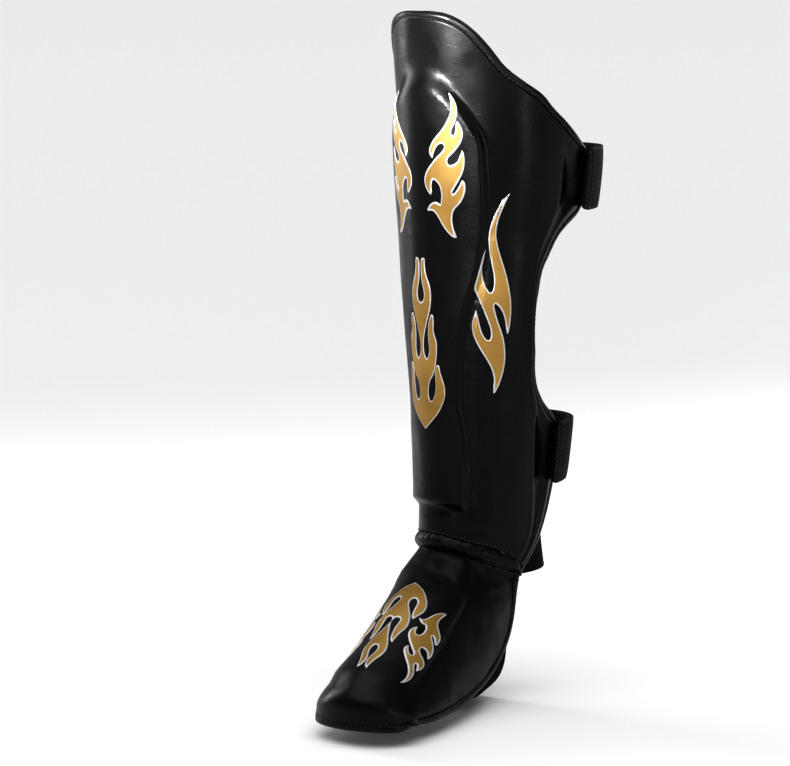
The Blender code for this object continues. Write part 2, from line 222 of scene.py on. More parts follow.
def past(value, place, width):
    return soft_step((value - place) / width + 0.5)


def between(value, start, end):
    return soft_step((value - start) / (end - start))


def bump_at(value, place, width):
    """1 at this place and 0 beyond this width to either side."""
    return np.exp(-(((value - place) / width) ** 2))


def mix(low, high, share):
    return low + (high - low) * share


def points(*axes):
    return np.stack(np.broadcast_arrays(*axes), axis=-1)


def waves(places, scale, seed=0.0):
    """Smooth noise from -1 to 1 at these places. scale is the size of a wave on each axis."""
    flat = (places / np.array(scale)).reshape(-1, 3) + seed
    found = [noise.noise(Vector(place)) for place in flat]
    return np.array(found).reshape(places.shape[:-1])


print("a table read half way:", smooth_row(SHIN_CUT, 0.5).round(1))

# %% [markdown]
# ## The shin pad's skin
#
# The relief is what makes it a shin guard: a raised pad down the middle, side walls that lead to a
# fold, and dished wings that the straps lap over. On the real one the leather is pulled into a
# groove beside the raised pad, and small creases gather there. Both are true geometry here, so
# they also show from the side.


# %% The leg, the cut and the relief
def leg_point(angle, level, outward):
    half_width, front, back = smooth_row(LEG_SECTIONS, level)
    turn = np.radians(angle)
    depth = np.where(np.cos(turn) > 0, front * CALF_FRONT, back * CALF_BACK)
    return points(
        (half_width * CALF_HALF_WIDTH + outward) * np.sin(turn),
        -(depth + outward) * np.cos(turn),
        RIM_HEIGHT - level * SHIN_LENGTH,
    )


def cut_angle(across, down):
    raised_edge, fold, edge = smooth_row(SHIN_CUT, down)
    column = np.abs(across)
    wall = (column - RAISED_COLUMN) / (FOLD_COLUMN - RAISED_COLUMN)
    wing = (column - FOLD_COLUMN) / (1.0 - FOLD_COLUMN)
    angle = np.where(column < RAISED_COLUMN, raised_edge * column / RAISED_COLUMN, 0.0)
    on_wall = (column >= RAISED_COLUMN) & (column < FOLD_COLUMN)
    angle = np.where(on_wall, mix(raised_edge, fold, wall), angle)
    angle = np.where(column >= FOLD_COLUMN, mix(fold, edge, wing), angle)
    return np.copysign(angle, across)


def cut_level(across, down):
    rim, hem, _ = smooth_row(EDGE_LEVELS, np.abs(across))
    rim_corner, hem_corner = EDGE_LEVELS[-1][1:3]
    like_rim = np.maximum(1.0 - down / 0.55, 0.0) ** 2
    like_hem = np.maximum((down - 0.45) / 0.55, 0.0) ** 2
    straight = mix(rim_corner, hem_corner, down)
    return straight + (rim - rim_corner) * like_rim + (hem - hem_corner) * like_hem


def raised_pad(across, down):
    """1 on the raised pad, 0 beside it."""
    column = np.abs(across)
    pad_top = PAD_TOP + PAD_SHOULDER * (column / RAISED_COLUMN) ** 2
    raised = 1.0 - past(column, RAISED_COLUMN, PAD_SLOPE_ACROSS)
    raised = raised * past(down, pad_top, PAD_SLOPE_DOWN)
    return raised * (1.0 - past(down, PAD_END, PAD_SLOPE_DOWN))


def shin_relief(across, down):
    column = np.abs(across)
    _, fold, edge = smooth_row(SHIN_CUT, down)
    wing = np.maximum((column - FOLD_COLUMN) / (1.0 - FOLD_COLUMN), 0.0)
    dish = np.sin(np.pi * np.minimum(wing / DISH_SHARE, 1.0))
    dish = dish * np.minimum((edge - fold) / DISH_ANGLE, 1.0) * between(down, 0.0, DISH_START)
    rolled = np.maximum((column - ROLL_COLUMN) / (1.0 - ROLL_COLUMN), 0.0) ** 2
    return RAISED_PAD * raised_pad(across, down) - WING_DIP * dish - EDGE_ROLL * rolled


def shin_thickness(across, down):
    column = np.abs(across)
    foam = mix(SHIN_FOAM, SIDE_FOAM, between(column, *FOAM_THINS))
    foam = mix(foam, WING_THICKNESS, between(column, *WING_THINS))
    return mix(WING_THICKNESS, foam, soft_step(np.minimum(down, 1.0 - down) / EDGE_THINS))


def shin_place(across, down):
    return leg_point(cut_angle(across, down), cut_level(across, down), shin_relief(across, down))


print("the rim's highest point is at", shin_place(0.0, 0.0).round(4), "m")

# %% [markdown]
# ## Camera, floor and light
#
# The photograph is taken from two metres away with a long lens, a little above the rim, looking at
# the front and the outer side. A leather this dark shows its form only by what it mirrors. Two
# small lamps with narrow beams put the shine on the upper pad and on its front, and three tall
# soft boxes light the sides and the back. A broad light from overhead fills in the rest. The floor
# is plain and pale, just under the sole.

# %% Camera
CAMERA_TURN = 46.5
CAMERA_DISTANCE = 2.0
CAMERA_ABOVE_RIM = 0.021
CAMERA_TILT = 7.966
CAMERA_YAW = 1.790
CAMERA_LENS = 131.24
SENSOR_WIDTH = 36.0

turn = math.radians(CAMERA_TURN)
eye = Vector((math.sin(turn), -math.cos(turn), 0.0)) * CAMERA_DISTANCE
eye.z = RIM_HEIGHT + CAMERA_ABOVE_RIM
camera_stance = (
    Matrix.Translation(eye)
    @ Matrix.Rotation(turn + math.radians(CAMERA_YAW), 4, "Z")
    @ Matrix.Rotation(math.radians(90.0 - CAMERA_TILT), 4, "X")
)
camera_data = bpy.data.cameras.new("camera")
camera_data.lens = CAMERA_LENS
camera_data.sensor_width = SENSOR_WIDTH
camera = bpy.data.objects.new("camera", camera_data)
camera.matrix_world = camera_stance
bpy.context.scene.collection.objects.link(camera)
bpy.context.scene.camera = camera
print("camera at", tuple(round(value, 3) for value in eye))

# %% Floor and world
FLOOR_DROP = 0.004
FLOOR_SIZE = 400.0
FLOOR_COLOUR = (0.90, 0.90, 0.905, 1.0)
FLOOR_ROUGHNESS = 0.9
SKY_COLOUR = (1.0, 1.0, 1.0, 1.0)
SKY_STRENGTH = 0.20

floor_mesh = bpy.data.meshes.new("floor")
half = FLOOR_SIZE / 2
low = cad_box[0][2] - FLOOR_DROP
corners = [(-half, -half, low), (half, -half, low), (half, half, low), (-half, half, low)]
floor_mesh.from_pydata(corners, [], [(0, 1, 2, 3)])
floor = bpy.data.objects.new("floor", floor_mesh)
bpy.context.scene.collection.objects.link(floor)
paper = bpy.data.materials.new("pale_floor")
paper.use_nodes = True
paper.node_tree.nodes["Principled BSDF"].inputs["Base Color"].default_value = FLOOR_COLOUR
paper.node_tree.nodes["Principled BSDF"].inputs["Roughness"].default_value = FLOOR_ROUGHNESS
floor_mesh.materials.append(paper)

world = bpy.data.worlds.new("studio")
world.use_nodes = True
world.node_tree.nodes["Background"].inputs["Color"].default_value = SKY_COLOUR
world.node_tree.nodes["Background"].inputs["Strength"].default_value = SKY_STRENGTH
bpy.context.scene.world = world
bpy.context.scene.view_settings.view_transform = "Standard"
bpy.context.scene.view_settings.look = "High Contrast"
print("floor at", round(low, 4), "m")

# %% Soft boxes
SOFT_BOXES = (
    # name, turn, distance, height, wide, tall, watts, aimed_at, beam
    ("key_box", 1.0, 1.8, 0.38, 0.22, 0.16, 0.55, 0.205, 6.0),
    ("front_box", 26.0, 1.9, 0.42, 0.16, 0.40, 0.32, 0.15, 14.0),
    ("side_box", 96.0, 1.7, 0.30, 0.20, 1.2, 0.5, 0.10, 60.0),
    ("inner_box", 285.0, 1.8, 0.50, 0.40, 1.3, 3.0, 0.0, 90.0),
    ("back_box", 200.0, 1.8, 0.70, 0.50, 1.2, 2.2, 0.1, 110.0),
)
OVERHEAD_STRENGTH = 1.6
OVERHEAD_SPREAD, OVERHEAD_LEAN, OVERHEAD_TIP = 70.0, 12.0, 8.0

for name, box_turn, distance, height, wide, tall, watts, aimed_at, beam in SOFT_BOXES:
    lamp_data = bpy.data.lights.new(name, "AREA")
    lamp_data.shape = "RECTANGLE"
    lamp_data.size, lamp_data.size_y = wide, tall
    lamp_data.energy = watts
    lamp_data.spread = math.radians(beam)
    lamp = bpy.data.objects.new(name, lamp_data)
    box_at = math.radians(box_turn)
    lamp.location = (distance * math.sin(box_at), -distance * math.cos(box_at), height)
    lamp.rotation_euler = (Vector((0.0, 0.0, aimed_at)) - lamp.location).to_track_quat("-Z", "Y").to_euler()
    bpy.context.scene.collection.objects.link(lamp)
sky_data = bpy.data.lights.new("overhead_light", "SUN")
sky_data.energy = OVERHEAD_STRENGTH
sky_data.angle = math.radians(OVERHEAD_SPREAD)
sky = bpy.data.objects.new("overhead_light", sky_data)
sky.rotation_euler = (math.radians(OVERHEAD_LEAN), math.radians(OVERHEAD_TIP), 0.0)
bpy.context.scene.collection.objects.link(sky)
print("soft boxes:", len(SOFT_BOXES))

# %% [markdown]
# ## The finishes
#
# Coated leather is a dark ground under a glossy skin. Its grain is a net of fine cells, and its
# gloss is uneven where hands and kicks have rubbed it. Each finish is built from the same few
# steps: a colour that drifts a little, a roughness that drifts too, and bumps at two sizes.


# %% Helper that builds a finish
def link(tree, source, target):
    tree.links.new(source, target)


def noise_node(tree, scale, detail, coordinates):
    node = tree.nodes.new("ShaderNodeTexNoise")
    node.inputs["Scale"].default_value = scale
    node.inputs["Detail"].default_value = detail
    link(tree, coordinates, node.inputs["Vector"])
    return node


def ramp_node(tree, fac, stops):
    node = tree.nodes.new("ShaderNodeValToRGB")
    node.color_ramp.elements[0].position, node.color_ramp.elements[0].color = stops[0]
    node.color_ramp.elements[1].position, node.color_ramp.elements[1].color = stops[-1]
    for position, colour in stops[1:-1]:
        node.color_ramp.elements.new(position).color = colour
    link(tree, fac, node.inputs["Fac"])
    return node


def range_node(tree, value, low, high):
    node = tree.nodes.new("ShaderNodeMapRange")
    node.inputs["From Min"].default_value = 0.3
    node.inputs["From Max"].default_value = 0.7
    node.inputs["To Min"].default_value = low
    node.inputs["To Max"].default_value = high
    link(tree, value, node.inputs["Value"])
    return node


def bump_node(tree, height, distance, strength, under=None):
    node = tree.nodes.new("ShaderNodeBump")
    node.inputs["Distance"].default_value = distance
    node.inputs["Strength"].default_value = strength
    link(tree, height, node.inputs["Height"])
    if under is not None:
        link(tree, under, node.inputs["Normal"])
    return node


def new_finish(name, roughness, metallic=0.0, specular=0.5):
    made = bpy.data.materials.new(name)
    made.use_nodes = True
    shader = made.node_tree.nodes["Principled BSDF"]
    shader.inputs["Roughness"].default_value = roughness
    shader.inputs["Metallic"].default_value = metallic
    shader.inputs["Specular IOR Level"].default_value = specular
    return made, made.node_tree, shader


def grey(level):
    return (level, level, level * 1.04, 1.0)


print("helpers for finishes are ready")

# %% [markdown]
# Leather: Voronoi cells about a millimetre wide make the embossed grain, and a stretched noise
# makes the faint creases that run across it. The gloss is broken up by a slow noise, so a long
# highlight is never quite even.


# %% Leather finishes
LEATHER_SPECULAR = 0.20
TONE_SCALE, RUB_SCALE, CREASE_SCALE = 14.0, 55.0, 95.0
GRAIN_HEIGHT, CREASE_HEIGHT, CREASE_STRENGTH = 0.00022, 0.0009, 0.16
CREASE_STRETCH = (1.0, 1.0, 2.6)
COAT_ROUGHNESS = 0.22


def leather_finish(name, tone, gloss, grain, grain_depth, coat):
    made, tree, shader = new_finish(name, gloss, specular=LEATHER_SPECULAR)
    place = tree.nodes.new("ShaderNodeTexCoord").outputs["Object"]
    tone_noise = noise_node(tree, TONE_SCALE, 3.0, place)
    tones = [(0.3, grey(tone * 0.8)), (0.7, grey(tone * 1.35))]
    colour = ramp_node(tree, tone_noise.outputs["Fac"], tones)
    link(tree, colour.outputs["Color"], shader.inputs["Base Color"])
    rubbed = noise_node(tree, RUB_SCALE, 5.0, place)
    gloss_range = range_node(tree, rubbed.outputs["Fac"], gloss - 0.05, gloss + 0.09)
    link(tree, gloss_range.outputs["Result"], shader.inputs["Roughness"])
    cells = tree.nodes.new("ShaderNodeTexVoronoi")
    cells.feature = "SMOOTH_F1"
    cells.inputs["Scale"].default_value = grain
    link(tree, place, cells.inputs["Vector"])
    pebble = bump_node(tree, cells.outputs["Distance"], GRAIN_HEIGHT, grain_depth)
    stretch = tree.nodes.new("ShaderNodeMapping")
    stretch.inputs["Scale"].default_value = CREASE_STRETCH
    link(tree, place, stretch.inputs["Vector"])
    creases = noise_node(tree, CREASE_SCALE, 4.0, stretch.outputs["Vector"])
    creases.inputs["Distortion"].default_value = 0.6
    over = pebble.outputs["Normal"]
    crease = bump_node(tree, creases.outputs["Fac"], CREASE_HEIGHT, CREASE_STRENGTH, over)
    link(tree, crease.outputs["Normal"], shader.inputs["Normal"])
    shader.inputs["Coat Weight"].default_value = coat
    shader.inputs["Coat Roughness"].default_value = COAT_ROUGHNESS
    return made


shin_leather_finish = leather_finish("shin_leather", 0.0020, 0.28, 900.0, 0.30, 0.0)
instep_leather_finish = leather_finish("instep_leather", 0.0030, 0.36, 1100.0, 0.28, 0.0)
binding_finish = leather_finish("binding_leather", 0.0040, 0.30, 1300.0, 0.26, 0.0)
print("leather finishes:", shin_leather_finish.name, instep_leather_finish.name, binding_finish.name)

# %% [markdown]
# Cloth finishes: the lining and the elastic are woven, so two crossed waves give the threads. They
# follow the piece's own map, which is laid out in metres, and so the weave bends with the band.


# %% Woven finishes
WOVEN_SPECULAR = 0.08
FUZZ_SCALE = 900.0
THREAD_STRENGTH, FUZZ_STRENGTH = 0.55, 0.25
# A wave texture of scale 1 repeats every twentieth of 2 pi, so this makes a thread one wave.
WAVE_REPEAT = 0.05 * 2 * math.pi


def woven_finish(name, tone, roughness, thread_across, thread_down, depth, sheen):
    made, tree, shader = new_finish(name, roughness, specular=WOVEN_SPECULAR)
    flat = tree.nodes.new("ShaderNodeUVMap")
    flat.uv_map = "cut"
    heights = []
    for direction, thread in (("X", thread_across), ("Y", thread_down)):
        wave = tree.nodes.new("ShaderNodeTexWave")
        wave.bands_direction = direction
        wave.inputs["Scale"].default_value = WAVE_REPEAT / thread
        wave.inputs["Distortion"].default_value = 0.6
        wave.inputs["Detail Scale"].default_value = 30.0
        link(tree, flat.outputs["UV"], wave.inputs["Vector"])
        heights.append(wave.outputs["Fac"])
    both = tree.nodes.new("ShaderNodeMath")
    both.operation = "ADD"
    link(tree, heights[0], both.inputs[0])
    link(tree, heights[1], both.inputs[1])
    fuzz = noise_node(tree, FUZZ_SCALE, 2.0, flat.outputs["UV"])
    threads = bump_node(tree, both.outputs["Value"], depth, THREAD_STRENGTH)
    over = threads.outputs["Normal"]
    fuzzy = bump_node(tree, fuzz.outputs["Fac"], depth, FUZZ_STRENGTH, over)
    link(tree, fuzzy.outputs["Normal"], shader.inputs["Normal"])
    colour = ramp_node(tree, fuzz.outputs["Fac"], [(0.35, grey(tone * 0.7)), (0.65, grey(tone * 1.5))])
    link(tree, colour.outputs["Color"], shader.inputs["Base Color"])
    shader.inputs["Sheen Weight"].default_value = sheen
    shader.inputs["Sheen Roughness"].default_value = 0.5
    return made


lining_finish = woven_finish("lining_cloth", 0.024, 0.85, 0.0010, 0.0010, 0.00012, 0.10)
webbing_finish = woven_finish("strap_webbing", 0.0035, 0.60, 0.0014, 0.0009, 0.00016, 0.0)
elastic_finish = woven_finish("black_elastic", 0.0070, 0.80, 0.0013, 0.0024, 0.00022, 0.0)
print("woven finishes:", lining_finish.name, webbing_finish.name, elastic_finish.name)


# %% Foil and thread
GOLD_STOPS = [(0.3, (0.25, 0.145, 0.030, 1.0)), (0.7, (0.36, 0.225, 0.060, 1.0))]
SILVER_STOPS = [(0.3, (0.46, 0.45, 0.46, 1.0)), (0.7, (0.58, 0.57, 0.58, 1.0))]
FOIL_ROUGHNESS, FOIL_METAL = 0.44, 0.35
FOLD_SCALE, FOLD_DISTORTION = 230.0, 1.2
FOLD_DEPTH, FOLD_STRENGTH = 0.0006, 0.34
THREAD_TONE, BROWN = 0.014, (0.030, 0.017, 0.009, 1.0)


def foil_finish(name, edge_from, edge_to):
    """Gold inside, silver along the rim: the mesh carries each place's distance to its outline."""
    made, tree, shader = new_finish(name, FOIL_ROUGHNESS, FOIL_METAL)
    place = tree.nodes.new("ShaderNodeTexCoord").outputs["Object"]
    drift = noise_node(tree, 32.0, 6.0, place)
    gold = ramp_node(tree, drift.outputs["Fac"], GOLD_STOPS)
    silver = ramp_node(tree, drift.outputs["Fac"], SILVER_STOPS)
    rim = tree.nodes.new("ShaderNodeAttribute")
    rim.attribute_name = "rim"
    inner = tree.nodes.new("ShaderNodeMapRange")
    inner.inputs["From Min"].default_value = edge_from
    inner.inputs["From Max"].default_value = edge_to
    link(tree, rim.outputs["Fac"], inner.inputs["Value"])
    colour = tree.nodes.new("ShaderNodeMix")
    colour.data_type = "RGBA"
    link(tree, inner.outputs["Result"], colour.inputs["Factor"])
    link(tree, silver.outputs["Color"], colour.inputs["A"])
    link(tree, gold.outputs["Color"], colour.inputs["B"])
    link(tree, colour.outputs["Result"], shader.inputs["Base Color"])
    slant = tree.nodes.new("ShaderNodeMapping")
    slant.inputs["Rotation"].default_value = (0.0, 0.5, 0.0)
    slant.inputs["Scale"].default_value = (3.0, 3.0, 0.8)
    link(tree, place, slant.inputs["Vector"])
    folds = noise_node(tree, FOLD_SCALE, 3.0, slant.outputs["Vector"])
    folds.inputs["Distortion"].default_value = FOLD_DISTORTION
    fold = bump_node(tree, folds.outputs["Fac"], FOLD_DEPTH, FOLD_STRENGTH)
    link(tree, fold.outputs["Normal"], shader.inputs["Normal"])
    return made


flame_finish = foil_finish("flame_foil", 0.98, 1.12)
thread_finish, _, thread_shader = new_finish("black_thread", 0.38)
thread_shader.inputs["Base Color"].default_value = grey(THREAD_TONE)
seam_thread_finish, _, seam_thread_shader = new_finish("brown_thread", 0.5)
seam_thread_shader.inputs["Base Color"].default_value = BROWN
print("foil and thread finishes are ready")

# %% [markdown]
# ## Building a skin
#
# A sewn panel is one sheet of leather, the foam under it and a lining. `skin` takes the places of
# the leather's face, works out which way the face looks, and lays the lining one thickness below.
# The two are joined round the edge into one closed body.


# %% Skin builder
def unit(vectors):
    return vectors / np.maximum(np.linalg.norm(vectors, axis=-1, keepdims=True), 1e-12)


def face_directions(places):
    down = np.gradient(places, axis=0)
    across = np.gradient(places, axis=1)
    return unit(np.cross(down, across))


def grid_quads(index):
    """The quads between neighbours in a grid of point numbers."""
    corners = [index[:-1, :-1], index[1:, :-1], index[1:, 1:], index[:-1, 1:]]
    return np.stack(corners, axis=-1).reshape(-1, 4)


def add_object(name, mesh, finishes):
    for finish in finishes:
        mesh.materials.append(finish)
    made = bpy.data.objects.new(name, mesh)
    bpy.context.scene.collection.objects.link(made)
    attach(made, "root")
    return made


def skin(name, places, thickness, finishes, flat_size):
    """A closed body from a grid of places: face, lining and the edge that joins them."""
    rows, columns = places.shape[:2]
    lining = places - face_directions(places) * np.asarray(thickness)[..., None]
    verts = np.concatenate([places.reshape(-1, 3), lining.reshape(-1, 3)])
    index = np.arange(rows * columns).reshape(rows, columns)
    face = grid_quads(index)
    back = face[:, ::-1] + rows * columns
    round_edge = np.concatenate([index[:, 0], index[-1, 1:], index[-2::-1, -1], index[0, -2:0:-1]])
    after = np.roll(round_edge, -1)
    rim = np.stack([after, round_edge, round_edge + rows * columns, after + rows * columns], axis=-1)
    quads = np.concatenate([face, back, rim])
    mesh = bpy.data.meshes.new(name)
    mesh.from_pydata(verts.tolist(), [], quads.tolist())
    slots = np.concatenate([np.zeros(len(face)), np.ones(len(back)), np.zeros(len(rim))]).astype(np.int32)
    if len(finishes) > 1:
        mesh.polygons.foreach_set("material_index", slots)
    down, across = np.meshgrid(np.linspace(0, 1, rows), np.linspace(0, 1, columns), indexing="ij")
    flat = np.stack([across * flat_size[0], down * flat_size[1]], axis=-1).reshape(-1, 2)
    flat = np.concatenate([flat, flat])
    map_layer = mesh.uv_layers.new(name="cut")
    map_layer.data.foreach_set("uv", flat[quads.reshape(-1)].reshape(-1))
    mesh.shade_smooth()
    made = add_object(name, mesh, finishes)
    print(name, "has", len(quads), "faces")
    return made


TUCK = 0.0024


def tucked(places, thickness, top, bottom):
    """A skin with one more ring of places, so that its edges run in under the binding."""
    left = places[:, :1] + unit(places[:, :1] - places[:, 1:2]) * TUCK
    right = places[:, -1:] + unit(places[:, -1:] - places[:, -2:-1]) * TUCK
    places = np.concatenate([left, places, right], axis=1)
    above = places[:1] + unit(places[:1] - places[1:2]) * TUCK
    below = places[-1:] + unit(places[-1:] - places[-2:-1]) * TUCK
    places = np.concatenate([above] * top + [places] + [below] * bottom)
    return places, np.pad(thickness, ((top, bottom), (1, 1)), "edge")


def grid_of(columns, rows):
    across, down = np.meshgrid(np.linspace(-1, 1, columns), np.linspace(0, 1, rows))
    return across, down


# %% [markdown]
# ## Pulled leather
#
# Padded leather is never as even as a formula. The foam pushes it out and the seams hold it in, so
# it swells a little between them. Blender's cloth does this: the skin is pinned at its edges and
# along the groove beside the raised pad, is given some pressure from inside, and settles for a few
# frames. Only how far each place moved is kept, and it is capped, so the pad stays its size.


# %% Cloth that settles over the foam
SWELL_FRAMES = 14
SWELL_CAP = 0.0006
CLOTH_MASS, CLOTH_STRETCH, CLOTH_BEND = 0.35, 40.0, 3.0
CLOTH_SHRINK = -0.002
EVENED = 3


def settled(name, places, hold, pressure):
    """How far each place of this sheet swells along its face, from a short cloth simulation."""
    rows, columns = places.shape[:2]
    index = np.arange(rows * columns).reshape(rows, columns)
    faces = grid_quads(index)
    mesh = bpy.data.meshes.new(name)
    mesh.from_pydata(places.reshape(-1, 3).tolist(), [], faces.tolist())
    sheet = bpy.data.objects.new(name, mesh)
    bpy.context.scene.collection.objects.link(sheet)
    pins = sheet.vertex_groups.new(name="seams")
    for place, share in enumerate(hold.reshape(-1)):
        pins.add([place], float(share), "REPLACE")
    cloth = sheet.modifiers.new("leather", "CLOTH")
    cloth.settings.vertex_group_mass = pins.name
    cloth.settings.mass = CLOTH_MASS
    cloth.settings.tension_stiffness = CLOTH_STRETCH
    cloth.settings.compression_stiffness = CLOTH_STRETCH
    cloth.settings.bending_stiffness = CLOTH_BEND
    cloth.settings.shrink_min = CLOTH_SHRINK
    cloth.settings.use_pressure = True
    cloth.settings.uniform_pressure_force = pressure
    cloth.settings.effector_weights.gravity = 0.0
    cloth.point_cache.frame_start = 1
    cloth.point_cache.frame_end = SWELL_FRAMES
    for step in range(1, SWELL_FRAMES + 1):
        bpy.context.scene.frame_set(step)
    evaluated = sheet.evaluated_get(bpy.context.evaluated_depsgraph_get())
    moved = np.empty(rows * columns * 3, np.float32)
    evaluated.data.vertices.foreach_get("co", moved)
    moved = moved.reshape(rows, columns, 3)
    swell = ((moved - places) * face_directions(places)).sum(axis=-1)
    bpy.data.objects.remove(sheet, do_unlink=True)
    bpy.context.scene.frame_set(1)
    print(name, "swelled by up to", round(float(swell.max() * 1000), 2), "mm")
    return SWELL_CAP * np.tanh(swell / SWELL_CAP)


def spread(coarse, rows, columns):
    """A coarse grid of values, evened out a little, read at a finer grid's places."""
    for _ in range(EVENED):
        coarse = np.pad(coarse, 1, "edge")
        beside = coarse[:-2, 1:-1] + coarse[2:, 1:-1] + coarse[1:-1, :-2] + coarse[1:-1, 2:]
        coarse = (beside + 2 * coarse[1:-1, 1:-1]) / 6
    at_rows = np.linspace(0, coarse.shape[0] - 1, rows)
    at_columns = np.linspace(0, coarse.shape[1] - 1, columns)
    along = np.array([np.interp(at_columns, np.arange(coarse.shape[1]), line) for line in coarse])
    return np.array([np.interp(at_rows, np.arange(coarse.shape[0]), line) for line in along.T]).T


# %% Shin pad
SHIN_COLUMNS, SHIN_ROWS = 171, 201
GROOVE_COLUMN, GROOVE_WIDTH, GROOVE_DEPTH = 0.435, 0.028, 0.0009
GATHER_DEPTH, SIDE_GATHER, PEBBLE_DEPTH = 0.00022, 0.00018, 0.00010
WAVE_DEPTH, ANKLE_FOLDS, FOLD_RIDGE = 0.00025, 0.00045, 0.0004


def shin_creases(across, down, places):
    """Fine folds: gathers in the groove, soft waves on the walls, wrinkles at the ankle."""
    column = np.abs(across)
    groove = bump_at(column, GROOVE_COLUMN, GROOVE_WIDTH)
    groove = groove * past(down, 0.20, 0.08) * (1.0 - past(down, 0.90, 0.04))
    gathers = waves(places, (0.010, 0.010, 0.0035), 3.0)
    pebbles = waves(places, (0.0045, 0.0045, 0.0030), 9.0)
    beside = bump_at(column, 0.46, 0.07) * past(down, 0.22, 0.1) * (1.0 - past(down, 0.86, 0.08))
    slow = waves(places, (0.055, 0.055, 0.110), 5.0)
    ankle = between(down, 0.86, 0.97) * (1.0 - past(column, 0.85, 0.1))
    rings = waves(places, (0.030, 0.030, 0.0065), 1.0)
    fold = bump_at(column, FOLD_COLUMN, 0.018) * soft_step((down - 0.1) / 0.1)
    relief = groove * (GATHER_DEPTH * gathers - GROOVE_DEPTH)
    relief += beside * (SIDE_GATHER * gathers + PEBBLE_DEPTH * pebbles)
    return relief + WAVE_DEPTH * slow + ANKLE_FOLDS * ankle * rings + FOLD_RIDGE * fold


across, down = grid_of(SHIN_COLUMNS, SHIN_ROWS)
shin_faces = shin_place(across, down)
coarse_across, coarse_down = grid_of(61, 71)
shin_hold = np.maximum.reduce([
    past(np.abs(coarse_across), 0.93, 0.06),
    1.0 - past(coarse_down, 0.03, 0.03),
    past(coarse_down, 0.965, 0.03),
    bump_at(np.abs(coarse_across), GROOVE_COLUMN, 0.03),
])
shin_swell = settled("shin_sheet", shin_place(coarse_across, coarse_down), shin_hold, 1.0)
shin_faces += face_directions(shin_faces) * (
    shin_creases(across, down, shin_faces) + spread(shin_swell, SHIN_ROWS, SHIN_COLUMNS)
)[..., None]
shin_pad = skin(
    "shin_pad",
    *tucked(shin_faces, shin_thickness(across, down), 1, 0),
    (shin_leather_finish, lining_finish),
    (0.26, 0.37),
)
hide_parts("shin_shell")

# %% [markdown]
# ## Ankle gusset
#
# A soft gusset joins the two pads, so that the foot can bend. It is a narrow tube of leather and
# foam, held by a seam above and a seam below. Each stitch pulls the leather in, and so the gusset
# is puckered along both seams, and swells between them.


# %% Gusset
def gusset_place(across, down):
    column = GUSSET_SHARE * across
    _, hem, gusset = smooth_row(EDGE_LEVELS, np.abs(column))
    level = mix(hem + GAP / SHIN_LENGTH, gusset, down)
    bulge = FLEX_BULGE * np.sin(np.pi * down) * (1.0 - np.abs(across) ** 3)
    return leg_point(cut_angle(column, np.ones_like(down)), level, bulge)


PUCKERS = 19
PUCKER_DEPTH = 0.00022
GUSSET_DRIFT = 0.0003

across, down = grid_of(181, 25)
gusset_faces = gusset_place(across, down)
pulled = np.cos(across * PUCKERS * np.pi + 0.9 * np.sin(across * 7.0))
pulled = pulled * np.abs(np.cos(np.pi * down)) ** 1.5
drift = waves(gusset_faces, (0.012, 0.012, 0.006), 2.0)
puckered = PUCKER_DEPTH * pulled + GUSSET_DRIFT * drift * np.sin(np.pi * down)
gusset_faces += face_directions(gusset_faces) * puckered[..., None]
gusset_thickness = mix(FLEX_THICKNESS, WING_THICKNESS, between(np.abs(across), 0.5, 1.0))
gusset_pad = skin(
    "gusset_pad",
    *tucked(gusset_faces, gusset_thickness, 0, 1),
    (instep_leather_finish, lining_finish),
    (0.15, 0.012),
)
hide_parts("ankle_gusset")

# %% [markdown]
# ## Instep pad
#
# The instep pad arches over the foot and ends over the toes. Its raised centre is a second layer of
# foam, and the leather falls off it in a step, sharpest at the toes. The leather here is softer and
# less glossy than on the shin, and it wrinkles across the foot just in front of the ankle.


# %% The foot's own frame and the arch
def foot_point(side, out, height, turned=1.0):
    heading = np.radians(TOE_OUT * turned)
    return points(
        side * np.cos(heading) + out * np.sin(heading),
        side * np.sin(heading) - out * np.cos(heading) - FOOT_PIVOT,
        height,
    )


GUSSET_END = float(smooth_row(EDGE_LEVELS, 0.0)[2]) * SHIN_LENGTH
INSTEP_TOP = RIM_HEIGHT - GUSSET_END - 2 * BINDING_RADIUS - 2 * GAP


def instep_relief(across, along):
    raised = 1.0 - past(np.abs(across), INSTEP_PAD_ACROSS, 2 * INSTEP_PAD_SLOPE)
    raised = raised * past(along, INSTEP_PAD_START, INSTEP_PAD_SLOPE)
    return INSTEP_PAD_HEIGHT * raised * (1.0 - past(along, INSTEP_PAD_END, 2 * INSTEP_PAD_SLOPE))


def instep_place(across, along):
    section = smooth_row(INSTEP_SECTIONS, along)
    ridge_out, ridge_down, edge_out, edge_down, half_width, turned, crown = section
    phase = np.radians(90.0 * across)
    rise = np.clip(np.cos(phase), 0.0, 1.0)
    outward = instep_relief(across, along)
    out = mix(edge_out, ridge_out, rise) * INSTEP_LENGTH + outward * rise * math.sin(INSTEP_LEAN)
    fall = mix(edge_down, ridge_down, rise**crown) * INSTEP_DROP - outward * rise * math.cos(INSTEP_LEAN)
    side = (half_width * INSTEP_HALF_WIDTH + outward) * np.sin(phase)
    return foot_point(side, out, INSTEP_TOP - fall, turned)


SEWN_ABOVE, SEWN_DEPTH, SEWN_REACH, SEWN_SIDES = 0.010, 0.0035, 0.13, 0.55
CORNER_ALONG, CORNER_ACROSS = 0.08, 0.04


def toe_turn(along):
    """How far round a toe corner the cut is: 0 on the straight side, 1 at the front."""
    return np.clip((along - 1.0 + CORNER_ALONG) / CORNER_ALONG, 0.0, 1.0)


